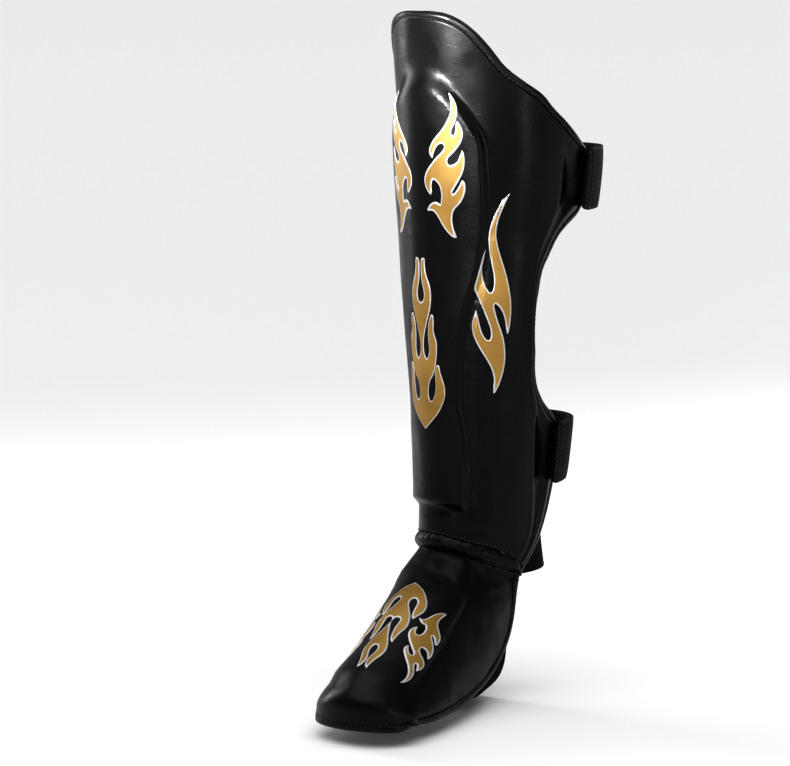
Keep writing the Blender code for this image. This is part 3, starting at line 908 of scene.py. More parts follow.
def instep_cut(across, along):
    """Places of the instep's leather: its toe corners cut round, its top led up behind the hem."""
    held_in = 1.0 - CORNER_ACROSS * (1.0 - np.sqrt(1.0 - toe_turn(along) ** 2))
    places = instep_place(across * held_in, along)
    sewn_column = GUSSET_SHARE * across
    sewn_level = smooth_row(EDGE_LEVELS, np.abs(sewn_column))[2] - SEWN_ABOVE
    sewn = leg_point(cut_angle(sewn_column, np.ones_like(sewn_column)), sewn_level, -SEWN_DEPTH)
    rise = (1.0 - between(along, 0.0, SEWN_REACH)) * (1.0 - SEWN_SIDES * np.abs(across) ** 4)
    return mix(places, sewn, rise[..., None])


def instep_thickness(across, along):
    foam = mix(INSTEP_FOAM, INSTEP_SIDE_FOAM, between(np.abs(across), *INSTEP_FOAM_THINS))
    to_edge = np.minimum(np.minimum(1.0 - np.abs(across), along), 1.0 - along) / INSTEP_EDGE_THINS
    return mix(INSTEP_EDGE, foam, soft_step(to_edge))


print("the instep pad starts at", round(INSTEP_TOP, 4), "m")

# %% Instep pad
INSTEP_COLUMNS, INSTEP_ROWS = 151, 141
INSTEP_GROOVE, INSTEP_GROOVE_WIDTH = INSTEP_PAD_ACROSS + 0.03, 0.022
INSTEP_GROOVE_DEPTH, INSTEP_GATHER = 0.0003, 0.0002
INSTEP_WAVE, BEND_FOLDS, SIDE_FOLDS = 0.0005, 0.0006, 0.0004


def instep_creases(across, along, places):
    column = np.abs(across)
    inside = past(along, 0.08, 0.06) * (1.0 - past(along, INSTEP_PAD_END + 0.05, 0.06))
    groove = bump_at(column, INSTEP_GROOVE, INSTEP_GROOVE_WIDTH) * inside
    gathers = waves(places, (0.005, 0.005, 0.005), 4.0)
    slow = waves(places, (0.035, 0.035, 0.030), 6.0)
    bend = between(along, 0.02, 0.08) * (1.0 - between(along, 0.10, 0.30))
    rings = waves(places, (0.030, 0.008, 0.007), 8.0)
    side_folds = between(column, 0.58, 0.75) * waves(places, (0.020, 0.012, 0.016), 12.0)
    relief = groove * (INSTEP_GATHER * gathers - INSTEP_GROOVE_DEPTH)
    return relief + INSTEP_WAVE * slow + BEND_FOLDS * bend * rings + SIDE_FOLDS * side_folds


across, along = grid_of(INSTEP_COLUMNS, INSTEP_ROWS)
instep_faces = instep_cut(across, along)
coarse_across, coarse_along = grid_of(55, 49)
instep_hold = np.maximum.reduce([
    past(np.abs(coarse_across), 0.92, 0.06),
    1.0 - past(coarse_along, 0.04, 0.04),
    past(coarse_along, 0.95, 0.04),
    bump_at(np.abs(coarse_across), INSTEP_GROOVE, 0.035),
])
instep_swell = settled("instep_sheet", instep_place(coarse_across, coarse_along), instep_hold, 1.2)
instep_faces += face_directions(instep_faces) * (
    instep_creases(across, along, instep_faces) + spread(instep_swell, INSTEP_ROWS, INSTEP_COLUMNS)
)[..., None]
instep_pad = skin(
    "instep_pad",
    *tucked(instep_faces, instep_thickness(across, along), 0, 1),
    (instep_leather_finish, lining_finish),
    (0.15, 0.16),
)
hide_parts("instep_shell")


# %% Reading a place from a finished skin
def reading(faces, across, down):
    """Places on a finished skin, creases and all, and the way it faces there."""
    rows, columns = faces.shape[:2]
    row = np.clip(np.asarray(down) * (rows - 1), 0, rows - 1.001)
    column = np.clip((np.asarray(across) + 1) / 2 * (columns - 1), 0, columns - 1.001)
    low_row, low_column = row.astype(int), column.astype(int)
    more_row, more_column = (row - low_row)[..., None], (column - low_column)[..., None]
    found = []
    for grid in (faces, face_directions(faces)):
        top = mix(grid[low_row, low_column], grid[low_row, low_column + 1], more_column)
        bottom = mix(grid[low_row + 1, low_column], grid[low_row + 1, low_column + 1], more_column)
        found.append(mix(top, bottom, more_row))
    return found[0], unit(found[1])


# %% [markdown]
# ## Rolled bindings
#
# The raw edges of leather, foam and lining are closed with a tape of leather, folded over them and
# sewn through. It is wider than it is thick, it stands a little above the pad, and a fine row of
# stitches runs along it. The tape is swept along the edge of the cut, and its corners are rounded
# as a tape's are, since it can't turn sharply.

# %% Run of the edge
TAPE_HALF_WIDTH = 0.0029
TAPE_HALF_DEPTH = 0.0031
TAPE_OUT = 0.0037
TAPE_STEP = 0.0016
TAPE_SIDES = 20
TAPE_PUCKER = 0.00012
TAPE_WANDER = 0.0002


def edge_run(place, start, end, count, turn=None):
    """Places along one edge of a cut, and places one small step further in."""
    share = np.linspace(0.0, 1.0, count)
    across, down = mix(start[0], end[0], share), mix(start[1], end[1], share)
    inner_across = np.where(np.abs(across) > 0.999, across * 0.95, across)
    inner_down = np.where(down < 0.001, 0.03, np.where(down > 0.999, 0.97, down))
    if turn is not None:
        inner_down = np.minimum(inner_down, down - 0.03 * turn(down))
    return place(across, down), place(inner_across, inner_down)


def even_run(values, at, step, closed):
    """Values along a run, read again at even steps of its length."""
    if closed:
        at, values = np.vstack([at, at[:1]]), np.vstack([values, values[:1]])
    length = np.concatenate([[0.0], np.cumsum(np.linalg.norm(np.diff(at, axis=0), axis=1))])
    count = int(length[-1] / step)
    wanted = np.linspace(0.0, length[-1], count + 1)
    wanted = wanted[:-1] if closed else wanted
    columns = [np.interp(wanted, length, column) for column in values.T]
    return np.stack(columns, axis=1)


def along_run(at, closed):
    """The direction of a run at each of its places."""
    if closed:
        return unit(np.roll(at, -1, axis=0) - np.roll(at, 1, axis=0))
    return unit(np.gradient(at, axis=0))


def eased(values, reach, closed):
    """Values along a run, each averaged with its neighbours."""
    weights = np.exp(-np.linspace(-2, 2, 2 * reach + 1) ** 2)
    weights /= weights.sum()
    if closed:
        padded = np.vstack([values[-reach:], values, values[:reach]])
    else:
        start = 2 * values[0] - values[reach:0:-1]
        end = 2 * values[-1] - values[-2:-reach - 2:-1]
        padded = np.vstack([start, values, end])
    columns = [np.convolve(column, weights, "valid") for column in padded.T]
    return np.stack(columns, axis=1)


def binding_frame(edges, inside, depth, closed, reach=4):
    """Middle of the tape along these edges, with its directions along, out and up."""
    both = even_run(np.hstack([edges, edges - inside]), edges, TAPE_STEP, closed)
    at, out = both[:, :3], unit(both[:, 3:])
    along = along_run(at, closed)
    out = unit(out - along * (out * along).sum(axis=1, keepdims=True))
    under = np.cross(out, along)
    middle = eased(at + out * TAPE_OUT + under * depth, reach, closed)
    out = unit(eased(out, reach, closed))
    along = along_run(middle, closed)
    out = unit(out - along * (out * along).sum(axis=1, keepdims=True))
    return middle, along, out, -np.cross(out, along)


def tape(name, run, closed, finish):
    """A folded tape along a run, with its small puckers."""
    middle, _, out, up = run
    phase = np.linspace(0.0, 2 * np.pi, TAPE_SIDES, endpoint=False)
    wide = np.sign(np.cos(phase)) * np.abs(np.cos(phase)) ** 0.75 * TAPE_HALF_WIDTH
    tall = np.sign(np.sin(phase)) * np.abs(np.sin(phase)) ** 0.85 * TAPE_HALF_DEPTH
    rings = middle[:, None] + out[:, None] * wide[None, :, None] + up[:, None] * tall[None, :, None]
    swell = waves(rings, (0.0045, 0.0045, 0.0045), 7.0) * TAPE_PUCKER
    swell += waves(rings, (0.02, 0.02, 0.02), 2.0) * TAPE_WANDER
    rings += unit(rings - middle[:, None]) * swell[..., None]
    count = len(middle)
    index = np.arange(count * TAPE_SIDES).reshape(count, TAPE_SIDES)
    if closed:
        here, after = index, np.roll(index, -1, axis=0)
    else:
        here, after = index[:-1], index[1:]
    quads = np.stack([here, after, np.roll(after, -1, axis=1), np.roll(here, -1, axis=1)], axis=-1)
    faces = quads.reshape(-1, 4).tolist()
    if not closed:
        faces += [index[0].tolist(), index[-1, ::-1].tolist()]
    mesh = bpy.data.meshes.new(name)
    mesh.from_pydata(rings.reshape(-1, 3).tolist(), [], faces)
    shaped = bmesh.new()
    shaped.from_mesh(mesh)
    bmesh.ops.recalc_face_normals(shaped, faces=shaped.faces)
    shaped.to_mesh(mesh)
    shaped.free()
    mesh.shade_smooth()
    print(name, "is", round(count * TAPE_STEP, 2), "m long")
    return add_object(name, mesh, (finish,))


shin_edges, shin_insides = (
    np.vstack(parts)
    for parts in zip(
        edge_run(shin_place, (-1, 0), (1, 0), 161),
        edge_run(shin_place, (1, 0), (1, 1), 161),
        edge_run(gusset_place, (1, 1), (-1, 1), 161),
        edge_run(shin_place, (-1, 1), (-1, 0), 161),
    )
)
shin_run = binding_frame(shin_edges, shin_insides, WING_THICKNESS / 2, True)
shin_tape = tape("shin_tape", shin_run, True, binding_finish)
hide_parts("shin_binding")

instep_edges, instep_insides = (
    np.vstack(parts)
    for parts in zip(
        edge_run(instep_cut, (1, 0), (1, 1), 241, toe_turn),
        edge_run(instep_cut, (1, 1), (-1, 1), 121),
        edge_run(instep_cut, (-1, 1), (-1, 0), 241, toe_turn),
    )
)
RUN_ON, RUN_ON_FROM = 0.004, 0.002
INSTEP_REACH = 9


def run_on(edges, insides):
    """Both ends of a run carried on, up behind the hem."""
    more = np.linspace(RUN_ON, RUN_ON_FROM, 8)[:, None]
    start = unit(edges[:1] - edges[2:3]) * more
    end = unit(edges[-1:] - edges[-3:-2]) * more[::-1]
    return [np.vstack([line[:1] + start, line, line[-1:] + end]) for line in (edges, insides)]


instep_edges, instep_insides = run_on(instep_edges, instep_insides)
instep_run = binding_frame(instep_edges, instep_insides, INSTEP_EDGE / 2, False, INSTEP_REACH)
instep_tape = tape("instep_tape", instep_run, False, binding_finish)
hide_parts("instep_binding")

# %% [markdown]
# Stitches are small pieces of thread, each a bit over two millimetres long, with a short gap where
# the thread dives through. They are real capsules of thread, half sunk in the leather, so that the
# light picks out every one.

# %% Stitches
STITCH_LENGTH = 0.0022
STITCH_PITCH = 0.0032
THREAD_RADIUS = 0.00034
STITCH_INSET = 0.0013


def stitches(name, line, up, finish, closed=False, pitch=STITCH_PITCH, length=STITCH_LENGTH):
    """A row of stitches along this line. up is the way the leather faces at each of its points."""
    both = even_run(np.hstack([line, up]), line, pitch, closed)
    at, up = both[:, :3], unit(both[:, 3:])
    along = along_run(at, closed)
    side = unit(np.cross(up, along))
    spread_along = np.array([-1.0, -0.8, 0.0, 0.8, 1.0])
    swell = np.array([0.35, 0.85, 1.0, 0.85, 0.35])
    sink = np.array([-0.9, -0.2, 0.1, -0.2, -0.9])
    phase = np.linspace(0, 2 * np.pi, 6, endpoint=False)
    swell_out = swell[:, None] * np.cos(phase)
    swell_up = swell[:, None] * np.sin(phase) + sink[:, None]
    rings = (
        at[:, None, None]
        + along[:, None, None] * (spread_along * length / 2)[None, :, None, None]
        + side[:, None, None] * swell_out[None, ..., None] * THREAD_RADIUS
        + up[:, None, None] * swell_up[None, ..., None] * THREAD_RADIUS
    )
    count = len(at)
    index = np.arange(count * 30).reshape(count, 5, 6)
    here, after = index[:, :-1], index[:, 1:]
    quads = np.stack([here, np.roll(here, -1, axis=2), np.roll(after, -1, axis=2), after], axis=-1)
    faces = quads.reshape(-1, 4).tolist() + index[:, 0, ::-1].tolist() + index[:, -1].tolist()
    mesh = bpy.data.meshes.new(name)
    mesh.from_pydata(rings.reshape(-1, 3).tolist(), [], faces)
    mesh.shade_smooth()
    print(name, "has", count, "stitches")
    return add_object(name, mesh, (finish,))


def tape_stitches(name, run, closed):
    middle, _, out, up = run
    inwards = STITCH_INSET - TAPE_HALF_WIDTH
    tall = TAPE_HALF_DEPTH * (1.0 - abs(inwards / TAPE_HALF_WIDTH) ** 2.6) ** 0.42
    return stitches(name, middle + out * inwards + up * tall, up - out * 0.5, thread_finish, closed)


tape_stitches("shin_thread", shin_run, True)
tape_stitches("instep_thread", instep_run, False)


# %% Seam over the gusset
seam_across = np.linspace(-0.86, 0.86, 241)
seam_at, seam_up = reading(shin_faces, seam_across, np.full_like(seam_across, 0.994))
stitches("gusset_thread", seam_at + seam_up * 0.0002, seam_up, seam_thread_finish)

# %% [markdown]
# ## Straps and elastics
#
# Two straps close the guard behind the calf. Each is hook on one end and loop on the other, pressed
# together, so it is two bands thick, and its free end is a tab with rounded corners and two rows of
# stitches. Elastic bands hold the guard behind the ankle and under the arch of the foot. Ribs run
# along them, which is where the rubber threads lie.


# %% Bands
def strap_place(level, lap, lift):
    def place(across, down):
        angle = 180.0 + across * (180.0 - lap)
        return leg_point(angle, level + (down - 0.5) * STRAP_WIDTH / SHIN_LENGTH, lift)

    return place


def round_ends(across, down, length, width, radius):
    """down, narrowed towards both ends so that the corners are round."""
    to_end = (1.0 - np.abs(across)) * length / 2
    reach = np.clip(radius - to_end, 0.0, radius)
    inset = radius - np.sqrt(np.maximum(radius**2 - reach**2, 0.0))
    return 0.5 + (down - 0.5) * (1.0 - 2 * inset / width)


TAB_RADIUS = 0.007
BAND_THICKNESS = 0.0026
CALF_MEAN_RADIUS = 0.075
BAND_SAG, BAND_ROLL = 0.0005, 0.0005
TAB_STITCH_INSETS = (0.0026, 0.0085)

for name, level, lap in STRAPS:
    length = math.radians(2 * (180.0 - lap)) * CALF_MEAN_RADIUS
    for layer, lift, start, end in (
        ("loop", STRAP_THICKNESS - GAP - BAND_THICKNESS - 0.0003, -0.90, 0.99),
        ("hook", STRAP_THICKNESS - GAP, -1.0, 0.30),
    ):
        across, down = grid_of(161, 19)
        layer_length = length * (end - start) / 2
        band_down = round_ends(across, down, layer_length, STRAP_WIDTH, TAB_RADIUS)
        band_across = mix(start, end, (across + 1) / 2)
        places = strap_place(level, lap, lift)(band_across, band_down)
        sag = waves(places, (0.05, 0.05, 0.03), 3.0 + level) * BAND_SAG
        rolled = -BAND_ROLL * (np.abs(down - 0.5) * 2) ** 6
        places += face_directions(places) * (sag + rolled)[..., None]
        thickness = np.full(across.shape, BAND_THICKNESS)
        size = (layer_length, STRAP_WIDTH)
        piece = skin(f"{name}_{layer}", places, thickness, (webbing_finish,), size)
        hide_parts(name)
        if layer != "hook":
            continue
        for row, inset in enumerate(TAB_STITCH_INSETS):
            row_across = np.full(60, -1.0 + 2 * inset / layer_length)
            row_down = np.linspace(0.04, 0.96, 60)
            row_at, row_up = reading(places, row_across, row_down)
            stitches(f"{name}_thread_{row}", row_at, row_up, thread_finish)


# %% Elastics
RIBS = 13
RIB_HEIGHT = 0.00035


def ankle_elastic_place(across, down):
    level = ANKLE_ELASTIC_LEVEL + (down - 0.5) * ANKLE_ELASTIC_WIDTH / SHIN_LENGTH
    rim_corner, hem_corner = EDGE_LEVELS[-1][1:3]
    edge = smooth_row(SHIN_CUT, (level - rim_corner) / (hem_corner - rim_corner))[2]
    angle = 180.0 + across * (180.0 - np.maximum(edge - ELASTIC_TUCK, ELASTIC_FOREMOST))
    flare = ANKLE_ELASTIC_FLARE * (down - ANKLE_ELASTIC_WAIST) * (1.0 - across**2)
    inset = BINDING_RADIUS + EDGE_ROLL + WING_THICKNESS / 2 + 2.2 * BINDING_GAP
    return leg_point(angle, level, flare - inset)


def instep_edge_at(out):
    stations = np.linspace(0.0, 1.0, 81)
    edge_out = smooth_row(INSTEP_SECTIONS, stations)[2] * INSTEP_LENGTH
    station = stations[np.abs(edge_out - np.asarray(out)[..., None]).argmin(axis=-1)]
    here, beyond = smooth_row(INSTEP_SECTIONS, station), smooth_row(INSTEP_SECTIONS, station + 0.02)
    slope = (beyond[3] - here[3]) * INSTEP_DROP / ((beyond[2] - here[2]) * INSTEP_LENGTH)
    return INSTEP_TOP - here[3] * INSTEP_DROP, here[4] * INSTEP_HALF_WIDTH, slope


def foot_elastic_place(across, down):
    out = (down - 0.5) * FOOT_ELASTIC_WIDTH + FOOT_ELASTIC_OUT
    height, half_width, slope = instep_edge_at(out)
    top = height - 2 * (BINDING_RADIUS + BINDING_GAP) * np.hypot(1.0, slope) + 0.002
    sole = INSTEP_TOP - INSTEP_DROP - SOLE_CLEARANCE
    phase = np.radians(90.0 * across)
    bow = np.abs(np.sin(phase)) ** SOLE_SQUARENESS
    side = -np.copysign(bow, across) * (half_width - BINDING_RADIUS)
    return foot_point(side, out, mix(top, sole, np.clip(np.cos(phase), 0, 1) ** SOLE_SQUARENESS))


for name, place, size in (
    ("ankle_elastic", ankle_elastic_place, (0.20, ANKLE_ELASTIC_WIDTH)),
    ("foot_elastic", foot_elastic_place, (0.13, FOOT_ELASTIC_WIDTH)),
):
    across, down = grid_of(121, 105)
    places = place(across, down)
    ribs = RIB_HEIGHT * np.abs(np.sin(np.pi * RIBS * down)) * (0.8 + 0.2 * np.sin(across * 160.0))
    places += face_directions(places) * (ribs - RIB_HEIGHT)[..., None]
    thickness = np.full(across.shape, ELASTIC_THICKNESS - RIB_HEIGHT)
    band = skin(f"{name}_band", places, thickness, (elastic_finish,), size)
    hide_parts(name)

# %% [markdown]
# ## The foil flames
#
# The flames are cut from foil, gold with a silver outline, and pressed on to the leather. Their
# outlines were read off the photograph, as rows of pixels across and down. A row marked with a 1
# is a tip, where the outline turns sharply; elsewhere it is smooth. The centre flames cross the
# front line of the guard, so only their outer half is read.

# %% Outlines of the flames in the photograph
UPPER_FLAME = (
    # pixel across, pixel down, 1 at a tip
    (447.6, 91.3, 1), (451.6, 95.2), (454.8, 100.3), (456.8, 106), (457.3, 112), (456.3, 117.8),
    (454.9, 122.5), (453, 127), (451.2, 131), (451.3, 133.9), (452.8, 134.9), (454.4, 133.2),
    (455.1, 129), (455.2, 124.5), (456.7, 120.2, 1), (459.8, 124.6), (462.2, 129.6), (462.9, 135),
    (461.8, 140.5), (459.5, 145.3), (455.9, 150.2), (451.3, 155.1), (448, 158.6), (447.2, 162),
    (448.4, 164.2), (451, 164.8), (454.6, 163.3), (457.6, 160.5), (459.5, 155.5),
    (462.1, 149.6, 1), (464, 154), (464.7, 161), (464.1, 168), (462.3, 173.6), (459.5, 180),
    (456.3, 185.2), (453.9, 189.3), (452.3, 192.3), (453.4, 193.3), (455.8, 190.7), (458.6, 186.3),
    (461.9, 179.8, 1), (464.6, 182), (465.6, 187), (464.9, 193), (462.8, 199), (459.3, 204.5),
    (454.5, 209.6), (452.6, 214.5), (452.2, 220.5), (453, 227), (454.9, 232.4), (457.4, 238.9, 1),
    (451.6, 236.9), (446.5, 231.8), (442.2, 225.4), (438.6, 218.5), (435.6, 213.6), (432.4, 210.9),
    (427.1, 211.1, 1), (429.2, 205.8), (432.2, 202.5), (436, 201.5), (440.4, 203.9, 1),
    (441, 197.5), (440.7, 191.5), (439, 185.5), (436.3, 181.8), (433.8, 180), (432.3, 182.3),
    (431.9, 187), (432.2, 192), (431.2, 195.4, 1), (428.2, 191.6), (425.7, 185.8), (424.8, 179.6),
    (425.8, 173.3), (428.4, 167.8), (432.2, 162.2), (436.5, 156.6), (440.4, 152.8), (443, 149.3),
    (443.7, 146), (441.4, 144), (438.2, 145.1), (435.6, 148.9), (434, 153.5), (432.6, 158.9, 1),
    (430, 155), (429.2, 150.5), (430.4, 145.3), (433, 140), (436.8, 135), (440.6, 130.2),
    (444.1, 124.9), (447.3, 118.9), (449.6, 113), (450.6, 106.5), (449.9, 100),
)
CENTRE_FLAME = (
    # pixel across, pixel down, 1 at a tip
    (422.1, 301.7), (423.9, 299.9), (424.7, 295.5), (424.2, 290), (422.9, 284), (421.9, 278),
    (421.4, 270), (421.3, 261.5), (422, 258.2), (423.6, 257.4), (425.1, 259), (425.5, 266),
    (426.3, 272), (427.8, 278), (429.8, 284), (431.1, 290), (431.5, 297), (431.2, 304),
    (430.4, 310), (428.9, 317), (427.2, 324.5), (425.6, 333), (424.6, 341), (424.8, 349.5),
    (426, 355.5), (427.7, 358.4), (429.3, 355.5), (429.9, 350), (429.3, 343), (428.6, 334),
    (428.9, 326), (430, 319.5), (431, 315.7), (432.3, 314.3), (433.7, 316.3), (434.2, 323),
    (434.1, 330), (435.4, 336), (436.9, 341), (437.4, 349), (437, 358), (436, 367), (433.9, 375),
    (431, 380.6), (429.6, 387), (429.5, 394), (430.5, 399), (431.9, 400.7), (433.8, 398.8),
    (435.3, 393.5), (436, 387), (435.7, 380), (435.5, 374), (436, 369.5), (436.8, 366),
    (438.1, 364.7), (439.6, 366.5), (440.4, 371.5), (441.6, 376.5), (443.6, 383), (444.9, 389.5),
    (445, 396), (443.5, 402.5), (440.6, 409.8), (436.8, 416), (431.5, 422.6), (425.2, 428.7, 1),
)
SIDE_FLAME = (
    # pixel across, pixel down, 1 at a tip
    (511.6, 191.4, 1), (507.2, 200), (502.6, 210), (498.8, 220), (496.8, 229), (496.6, 238.5),
    (498.9, 249.5), (502.1, 260), (505.2, 270), (507.6, 280), (509.6, 290), (511, 300),
    (511.3, 310), (510.5, 321), (509.2, 329.5), (507.1, 335.7, 1), (505.9, 328), (504.5, 319.5),
    (502.3, 312.5), (498.9, 306.8), (495.5, 304), (494.2, 306.2), (495.6, 312), (498, 321),
    (501.6, 331), (504.2, 341), (505.3, 351), (505.2, 361), (503.6, 371), (500.8, 381),
    (497, 389.6), (493.4, 394.8, 1), (493, 387), (493.6, 379.5), (491.7, 370.3), (486.6, 360.2),
    (480.4, 350.3), (475.3, 341), (472.2, 332), (471.7, 322.5), (476, 309.1, 1), (478, 316.5),
    (479.9, 324.5), (482.2, 332.5), (485.8, 338.6), (488.6, 340), (490.7, 337.2), (490.4, 330),
    (487.6, 321.5), (483.4, 311), (478.9, 300.5), (475.3, 292), (474.8, 286.5), (477.1, 278),
    (480.1, 267), (483.2, 256.5), (487, 246.8, 1), (484.6, 258), (482.8, 267), (482.7, 275.5),
    (484.5, 283.5), (487.7, 289.7), (490.4, 292.4), (492.8, 290), (493.9, 283), (493.2, 273.5),
    (491.2, 263), (489.3, 252.5), (488.7, 241.5), (489.5, 230.5), (492.4, 220), (496.7, 210),
    (502.6, 200),
)
INSTEP_CENTRE = (
    # pixel across, pixel down, 1 at a tip
    (416.2, 582.6, 1), (420, 586.2), (423.8, 590.5), (426.3, 596.5), (427.5, 603), (426.3, 609.2),
    (422.6, 613.6), (417.2, 616.7), (412.9, 619.8, 1), (411.5, 617), (412.6, 612.4), (415, 607.6),
    (417.2, 603.4), (416.6, 600.1), (414.2, 599.1), (411, 600.7), (409.3, 604.5), (409.9, 609.5),
    (410.6, 616), (409.4, 622.8), (406.2, 628.4), (401.2, 632.6), (396.8, 637), (391.9, 642.8, 1),
    (390.2, 640.2), (391.2, 634.8), (394.3, 628.6), (398, 623.3), (400.2, 619.9), (398.2, 618),
    (394.9, 618.7), (391.7, 622.4), (390.3, 628), (388.8, 635), (388.5, 642.5), (386.8, 649.5),
    (382.4, 654.8), (376, 659.4), (370.6, 664), (366.2, 668.5, 1), (364.9, 665.6), (366.4, 660.6),
    (370.4, 656.1), (374.8, 652.2), (377.6, 648.6), (377.6, 646.2), (376.2, 645.5),
)
INSTEP_SIDE = (
    # pixel across, pixel down, 1 at a tip
    (448, 614.6, 1), (443.8, 617.2), (440.4, 620.2), (438.5, 624.2), (439.2, 629.2),
    (440.6, 634.6), (440.6, 639.6), (438.9, 643.6), (435.8, 646.6, 1), (434.4, 643.2), (434, 639),
    (432.5, 636.2), (432.9, 640.5), (433.8, 646.5), (433.3, 652), (431.2, 657.2),
    (426.6, 660.5, 1), (426.9, 655), (425.6, 651.2), (422.6, 648.3), (420.5, 649), (420.5, 652.9),
    (422.3, 656.9), (424.1, 661.5), (424.2, 666), (421.4, 669.6), (415.2, 672.1, 1),
    (416.4, 668.6), (416.7, 665.4), (415.7, 663.8), (414.7, 665.8), (414.5, 670.6), (413.6, 675.4),
    (410.9, 679.1), (406.2, 682.2), (399, 683, 1), (403.5, 679.9), (406.6, 676.2), (407.8, 671),
    (407.4, 665), (405.8, 659.8), (404.3, 654.5), (403.4, 649.8), (405.2, 646), (409.1, 644.7, 1),
    (408.9, 649.5), (410, 653), (412.4, 654.7), (413.2, 652.7), (411.4, 647.8), (409.1, 641.4),
    (407.9, 635.4), (409.2, 630.3), (412.9, 627.5), (418.5, 626, 1), (416.4, 630.2),
    (416.2, 633.3), (419.4, 634.6), (423.3, 632.5), (425.3, 628.8), (425.2, 625.4, 1),
    (421.9, 623.8), (419.7, 620.6), (419, 616.8, 1), (422.1, 618.9), (426.4, 618.4),
    (431.3, 615.8), (436.4, 613.7), (442.3, 612.8),
)
OUTLINES = (UPPER_FLAME, CENTRE_FLAME, SIDE_FLAME, INSTEP_CENTRE, INSTEP_SIDE)
print("points read:", [len(rows) for rows in OUTLINES])

# %% [markdown]
# The camera of this scene stands where the photograph's stood. So each pixel of an outline can be
# led back to the leather: from the nearest of a grid of tries, a few straight steps end at the
# place of the cut that shows at this pixel. On the cut the flames bend with the pad.

# %% From pixels to the cut
PHOTO_WIDTH, PHOTO_HEIGHT = 790, 766
PHOTO_FOCAL = CAMERA_LENS / SENSOR_WIDTH * PHOTO_WIDTH
TRIES_A_SIDE, SEARCH_ROUNDS = 61, 12
NUDGE, LONGEST_STEP = 0.0001, 0.03
SEARCHES = (
    # name, outline, places, lowest and highest across and down
    ("upper_flame", UPPER_FLAME, shin_place, (0.02, 0.02), (0.385, 0.70)),
    ("centre_flame", CENTRE_FLAME, shin_place, (0.00, 0.10), (0.385, 0.93)),
    ("side_flame", SIDE_FLAME, shin_place, (0.37, 0.02), (0.95, 0.95)),
    ("instep_centre_flame", INSTEP_CENTRE, instep_place, (0.00, 0.02), (0.70, 0.90)),
    ("instep_flame", INSTEP_SIDE, instep_place, (0.00, 0.05), (0.90, 0.95)),
)
to_camera = np.array(camera_stance.inverted())


def in_photo(places):
    """The pixels, from the left and the top of the photograph, at which these places show."""
    seen = places @ to_camera[:3, :3].T + to_camera[:3, 3]
    slope = PHOTO_FOCAL * seen[..., :2] / seen[..., 2:]
    return points(PHOTO_WIDTH / 2 - slope[..., 0], PHOTO_HEIGHT / 2 + slope[..., 1])


def charted(rows, place, low, high):
    """An outline's rows with across and down in place of the pixels, found between low and high."""
    pixels = np.array([row[:2] for row in rows])
    share = np.linspace(0.0, 1.0, TRIES_A_SIDE)
    tries = mix(np.array(low), np.array(high), points(*np.meshgrid(share, share)).reshape(-1, 2))
    shown = in_photo(place(*tries.T))
    at = tries[((shown - pixels[:, None]) ** 2).sum(-1).argmin(1)]
    for _ in range(SEARCH_ROUNDS):
        miss = in_photo(place(*at.T)) - pixels
        moved = [in_photo(place(*(at + nudge).T)) - pixels - miss for nudge in np.eye(2) * NUDGE]
        step = np.linalg.pinv(np.stack(moved, axis=-1) / NUDGE, rcond=1e-3) @ miss[..., None]
        at = np.clip(at - np.clip(step[..., 0], -LONGEST_STEP, LONGEST_STEP), low, high)
    return [(*where, *row[2:]) for where, row in zip(at, rows)]


charts = {name: charted(rows, place, low, high) for name, rows, place, low, high in SEARCHES}
for name, chart in charts.items():
    print(name, "has", len(chart), "charted points, the first at", np.round(chart[0][:2], 3))


# %% From a chart to a piece of foil
FOIL_HEIGHT = 0.00032
SILVER_WIDTH = 0.0011
FOIL_GRAIN = 0.0011
RIM_LOWERED, CRUMPLE_HEIGHT = -0.00012, 0.00007


def round_outline(rows, steps=4):
    """The closed outline through a chart's rows, in across and down."""
    at = np.array([row[:2] for row in rows])
    tip = np.array([len(row) > 2 for row in rows])[:, None]
    before, after = np.roll(at, 1, axis=0), np.roll(at, -1, axis=0)
    leaving = np.where(tip, after - at, (after - before) / 2)
    arriving = np.roll(np.where(tip, at - before, (after - before) / 2), -1, axis=0)
    share = np.arange(steps)[:, None, None] / steps
    curve = (
        (2 * share**3 - 3 * share**2 + 1) * at
        + (share**3 - 2 * share**2 + share) * leaving
        + (3 * share**2 - 2 * share**3) * after
        + (share**3 - share**2) * arriving
    )
    return curve.transpose(1, 0, 2).reshape(-1, 2)


def mirrored_half(rows):
    """A chart of the outer half of a flame that crosses the front line, closed with its mirror image."""
    half = list(rows)
    half[0], half[-1] = (0.0, *half[0][1:]), (0.0, *half[-1][1:])
    return half + [(-row[0], *row[1:]) for row in half[-2:0:-1]]


def edge_distance(places, outline):
    """Distance of each place to a closed outline, and whether it lies inside."""
    start, end = outline, np.roll(outline, -1, axis=0)
    run = end - start
    nearest = np.empty(len(places))
    inside = np.empty(len(places), bool)
    for first in range(0, len(places), 2000):
        part = places[first : first + 2000, None]
        share = np.clip(((part - start) * run).sum(-1) / np.maximum((run**2).sum(-1), 1e-18), 0, 1)
        away = np.linalg.norm(part - start - run * share[..., None], axis=-1)
        nearest[first : first + 2000] = away.min(1)
        crosses = (start[:, 1] > part[..., 1]) != (end[:, 1] > part[..., 1])
        rise = np.where(run[:, 1] == 0, 1e-18, run[:, 1])
        at = start[:, 0] + (part[..., 1] - start[:, 1]) * run[:, 0] / rise
        inside[first : first + 2000] = ((part[..., 0] < at) & crosses).sum(1) % 2 == 1
    return nearest, inside


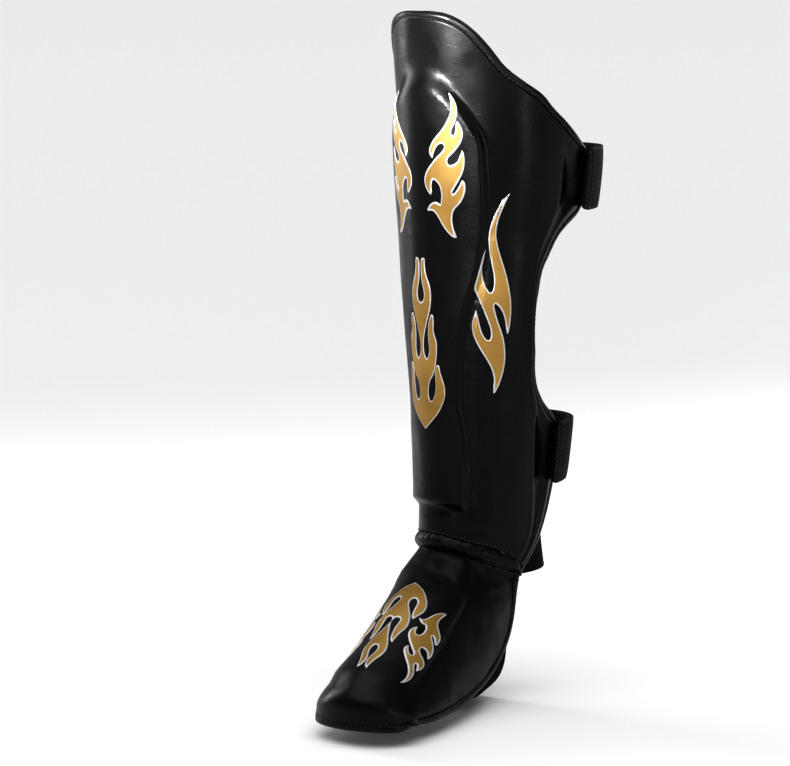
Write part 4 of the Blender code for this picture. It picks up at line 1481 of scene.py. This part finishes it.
def foil_mesh(outline):
    """Flat places and triangles of the foil: its outline, rings inside it and an even filling."""
    start, end = outline, np.roll(outline, -1, axis=0)
    middle, run = (start + end) / 2, unit(end - start)
    inwards = np.stack([-run[:, 1], run[:, 0]], axis=1)
    area = (start[:, 0] * end[:, 1] - end[:, 0] * start[:, 1]).sum() / 2
    inwards *= np.sign(area)
    inner = []
    for reach in (0.0003, SILVER_WIDTH):
        ring = middle + inwards * reach
        distance, inside = edge_distance(ring, outline)
        inner.append(ring[inside & (distance > reach * 0.97)])
    low, high = outline.min(0), outline.max(0)
    columns, lines = (np.arange(low[axis], high[axis], FOIL_GRAIN) for axis in (0, 1))
    grid = np.stack(np.meshgrid(columns, lines), -1)
    grid[1::2, :, 0] += FOIL_GRAIN / 2
    grid = grid.reshape(-1, 2)
    distance, inside = edge_distance(grid, outline)
    near_ring = np.abs(distance - SILVER_WIDTH) < FOIL_GRAIN * 0.45
    inner.append(grid[inside & (distance > 0.0007) & ~near_ring])
    flat = np.vstack([outline, *inner])
    edges = [(index, (index + 1) % len(outline)) for index in range(len(outline))]
    found = geometry.delaunay_2d_cdt([Vector(place) for place in flat], edges, [], 1, 1e-7)
    flat = np.array([tuple(place) for place in found[0]])
    return flat, [list(face) for face in found[2]]


def foil(name, rows, faces, metres, side=1.0):
    """A flame of foil on a finished skin. metres is the size of the cut across and down, near enough."""
    outline = round_outline(rows) * metres
    flat, triangles = foil_mesh(outline)
    distance, _ = edge_distance(flat, outline)
    at, up = reading(faces, flat[:, 0] / metres[0] * side, flat[:, 1] / metres[1])
    crumple = waves(at, (0.0035, 0.0035, 0.0035), 11.0)
    lift = mix(RIM_LOWERED, FOIL_HEIGHT, soft_step(distance / 0.0003))
    lift += CRUMPLE_HEIGHT * crumple * (distance > 0.001)
    at = at + up * lift[:, None]
    triangles = np.array(triangles)
    corners = at[triangles]
    facing = np.cross(corners[:, 1] - corners[:, 0], corners[:, 2] - corners[:, 0])
    backwards = (facing * up[triangles[:, 0]]).sum(1) < 0
    triangles[backwards] = triangles[backwards, ::-1]
    mesh = bpy.data.meshes.new(name)
    mesh.from_pydata(at.tolist(), [], triangles.tolist())
    rim = mesh.attributes.new("rim", "FLOAT", "POINT")
    rim.data.foreach_set("value", (distance * 1000).astype(np.float32))
    mesh.shade_smooth()
    print(name, "has", len(triangles), "faces")
    return add_object(name, mesh, (flame_finish,))


# %% Foil pieces
SHIN_METRES = np.array((0.125, 0.33))
INSTEP_METRES = np.array((0.068, 0.145))

foil("centre_flame", mirrored_half(charts["centre_flame"]), shin_faces, SHIN_METRES)
instep_half = mirrored_half(charts["instep_centre_flame"])
foil("instep_centre_flame", instep_half, instep_faces, INSTEP_METRES)
for hand, side in (("outer", 1.0), ("inner", -1.0)):
    foil(f"upper_flame_{hand}", charts["upper_flame"], shin_faces, SHIN_METRES, side)
    foil(f"side_flame_{hand}", charts["side_flame"], shin_faces, SHIN_METRES, side)
    foil(f"instep_flame_{hand}", charts["instep_flame"], instep_faces, INSTEP_METRES, side)
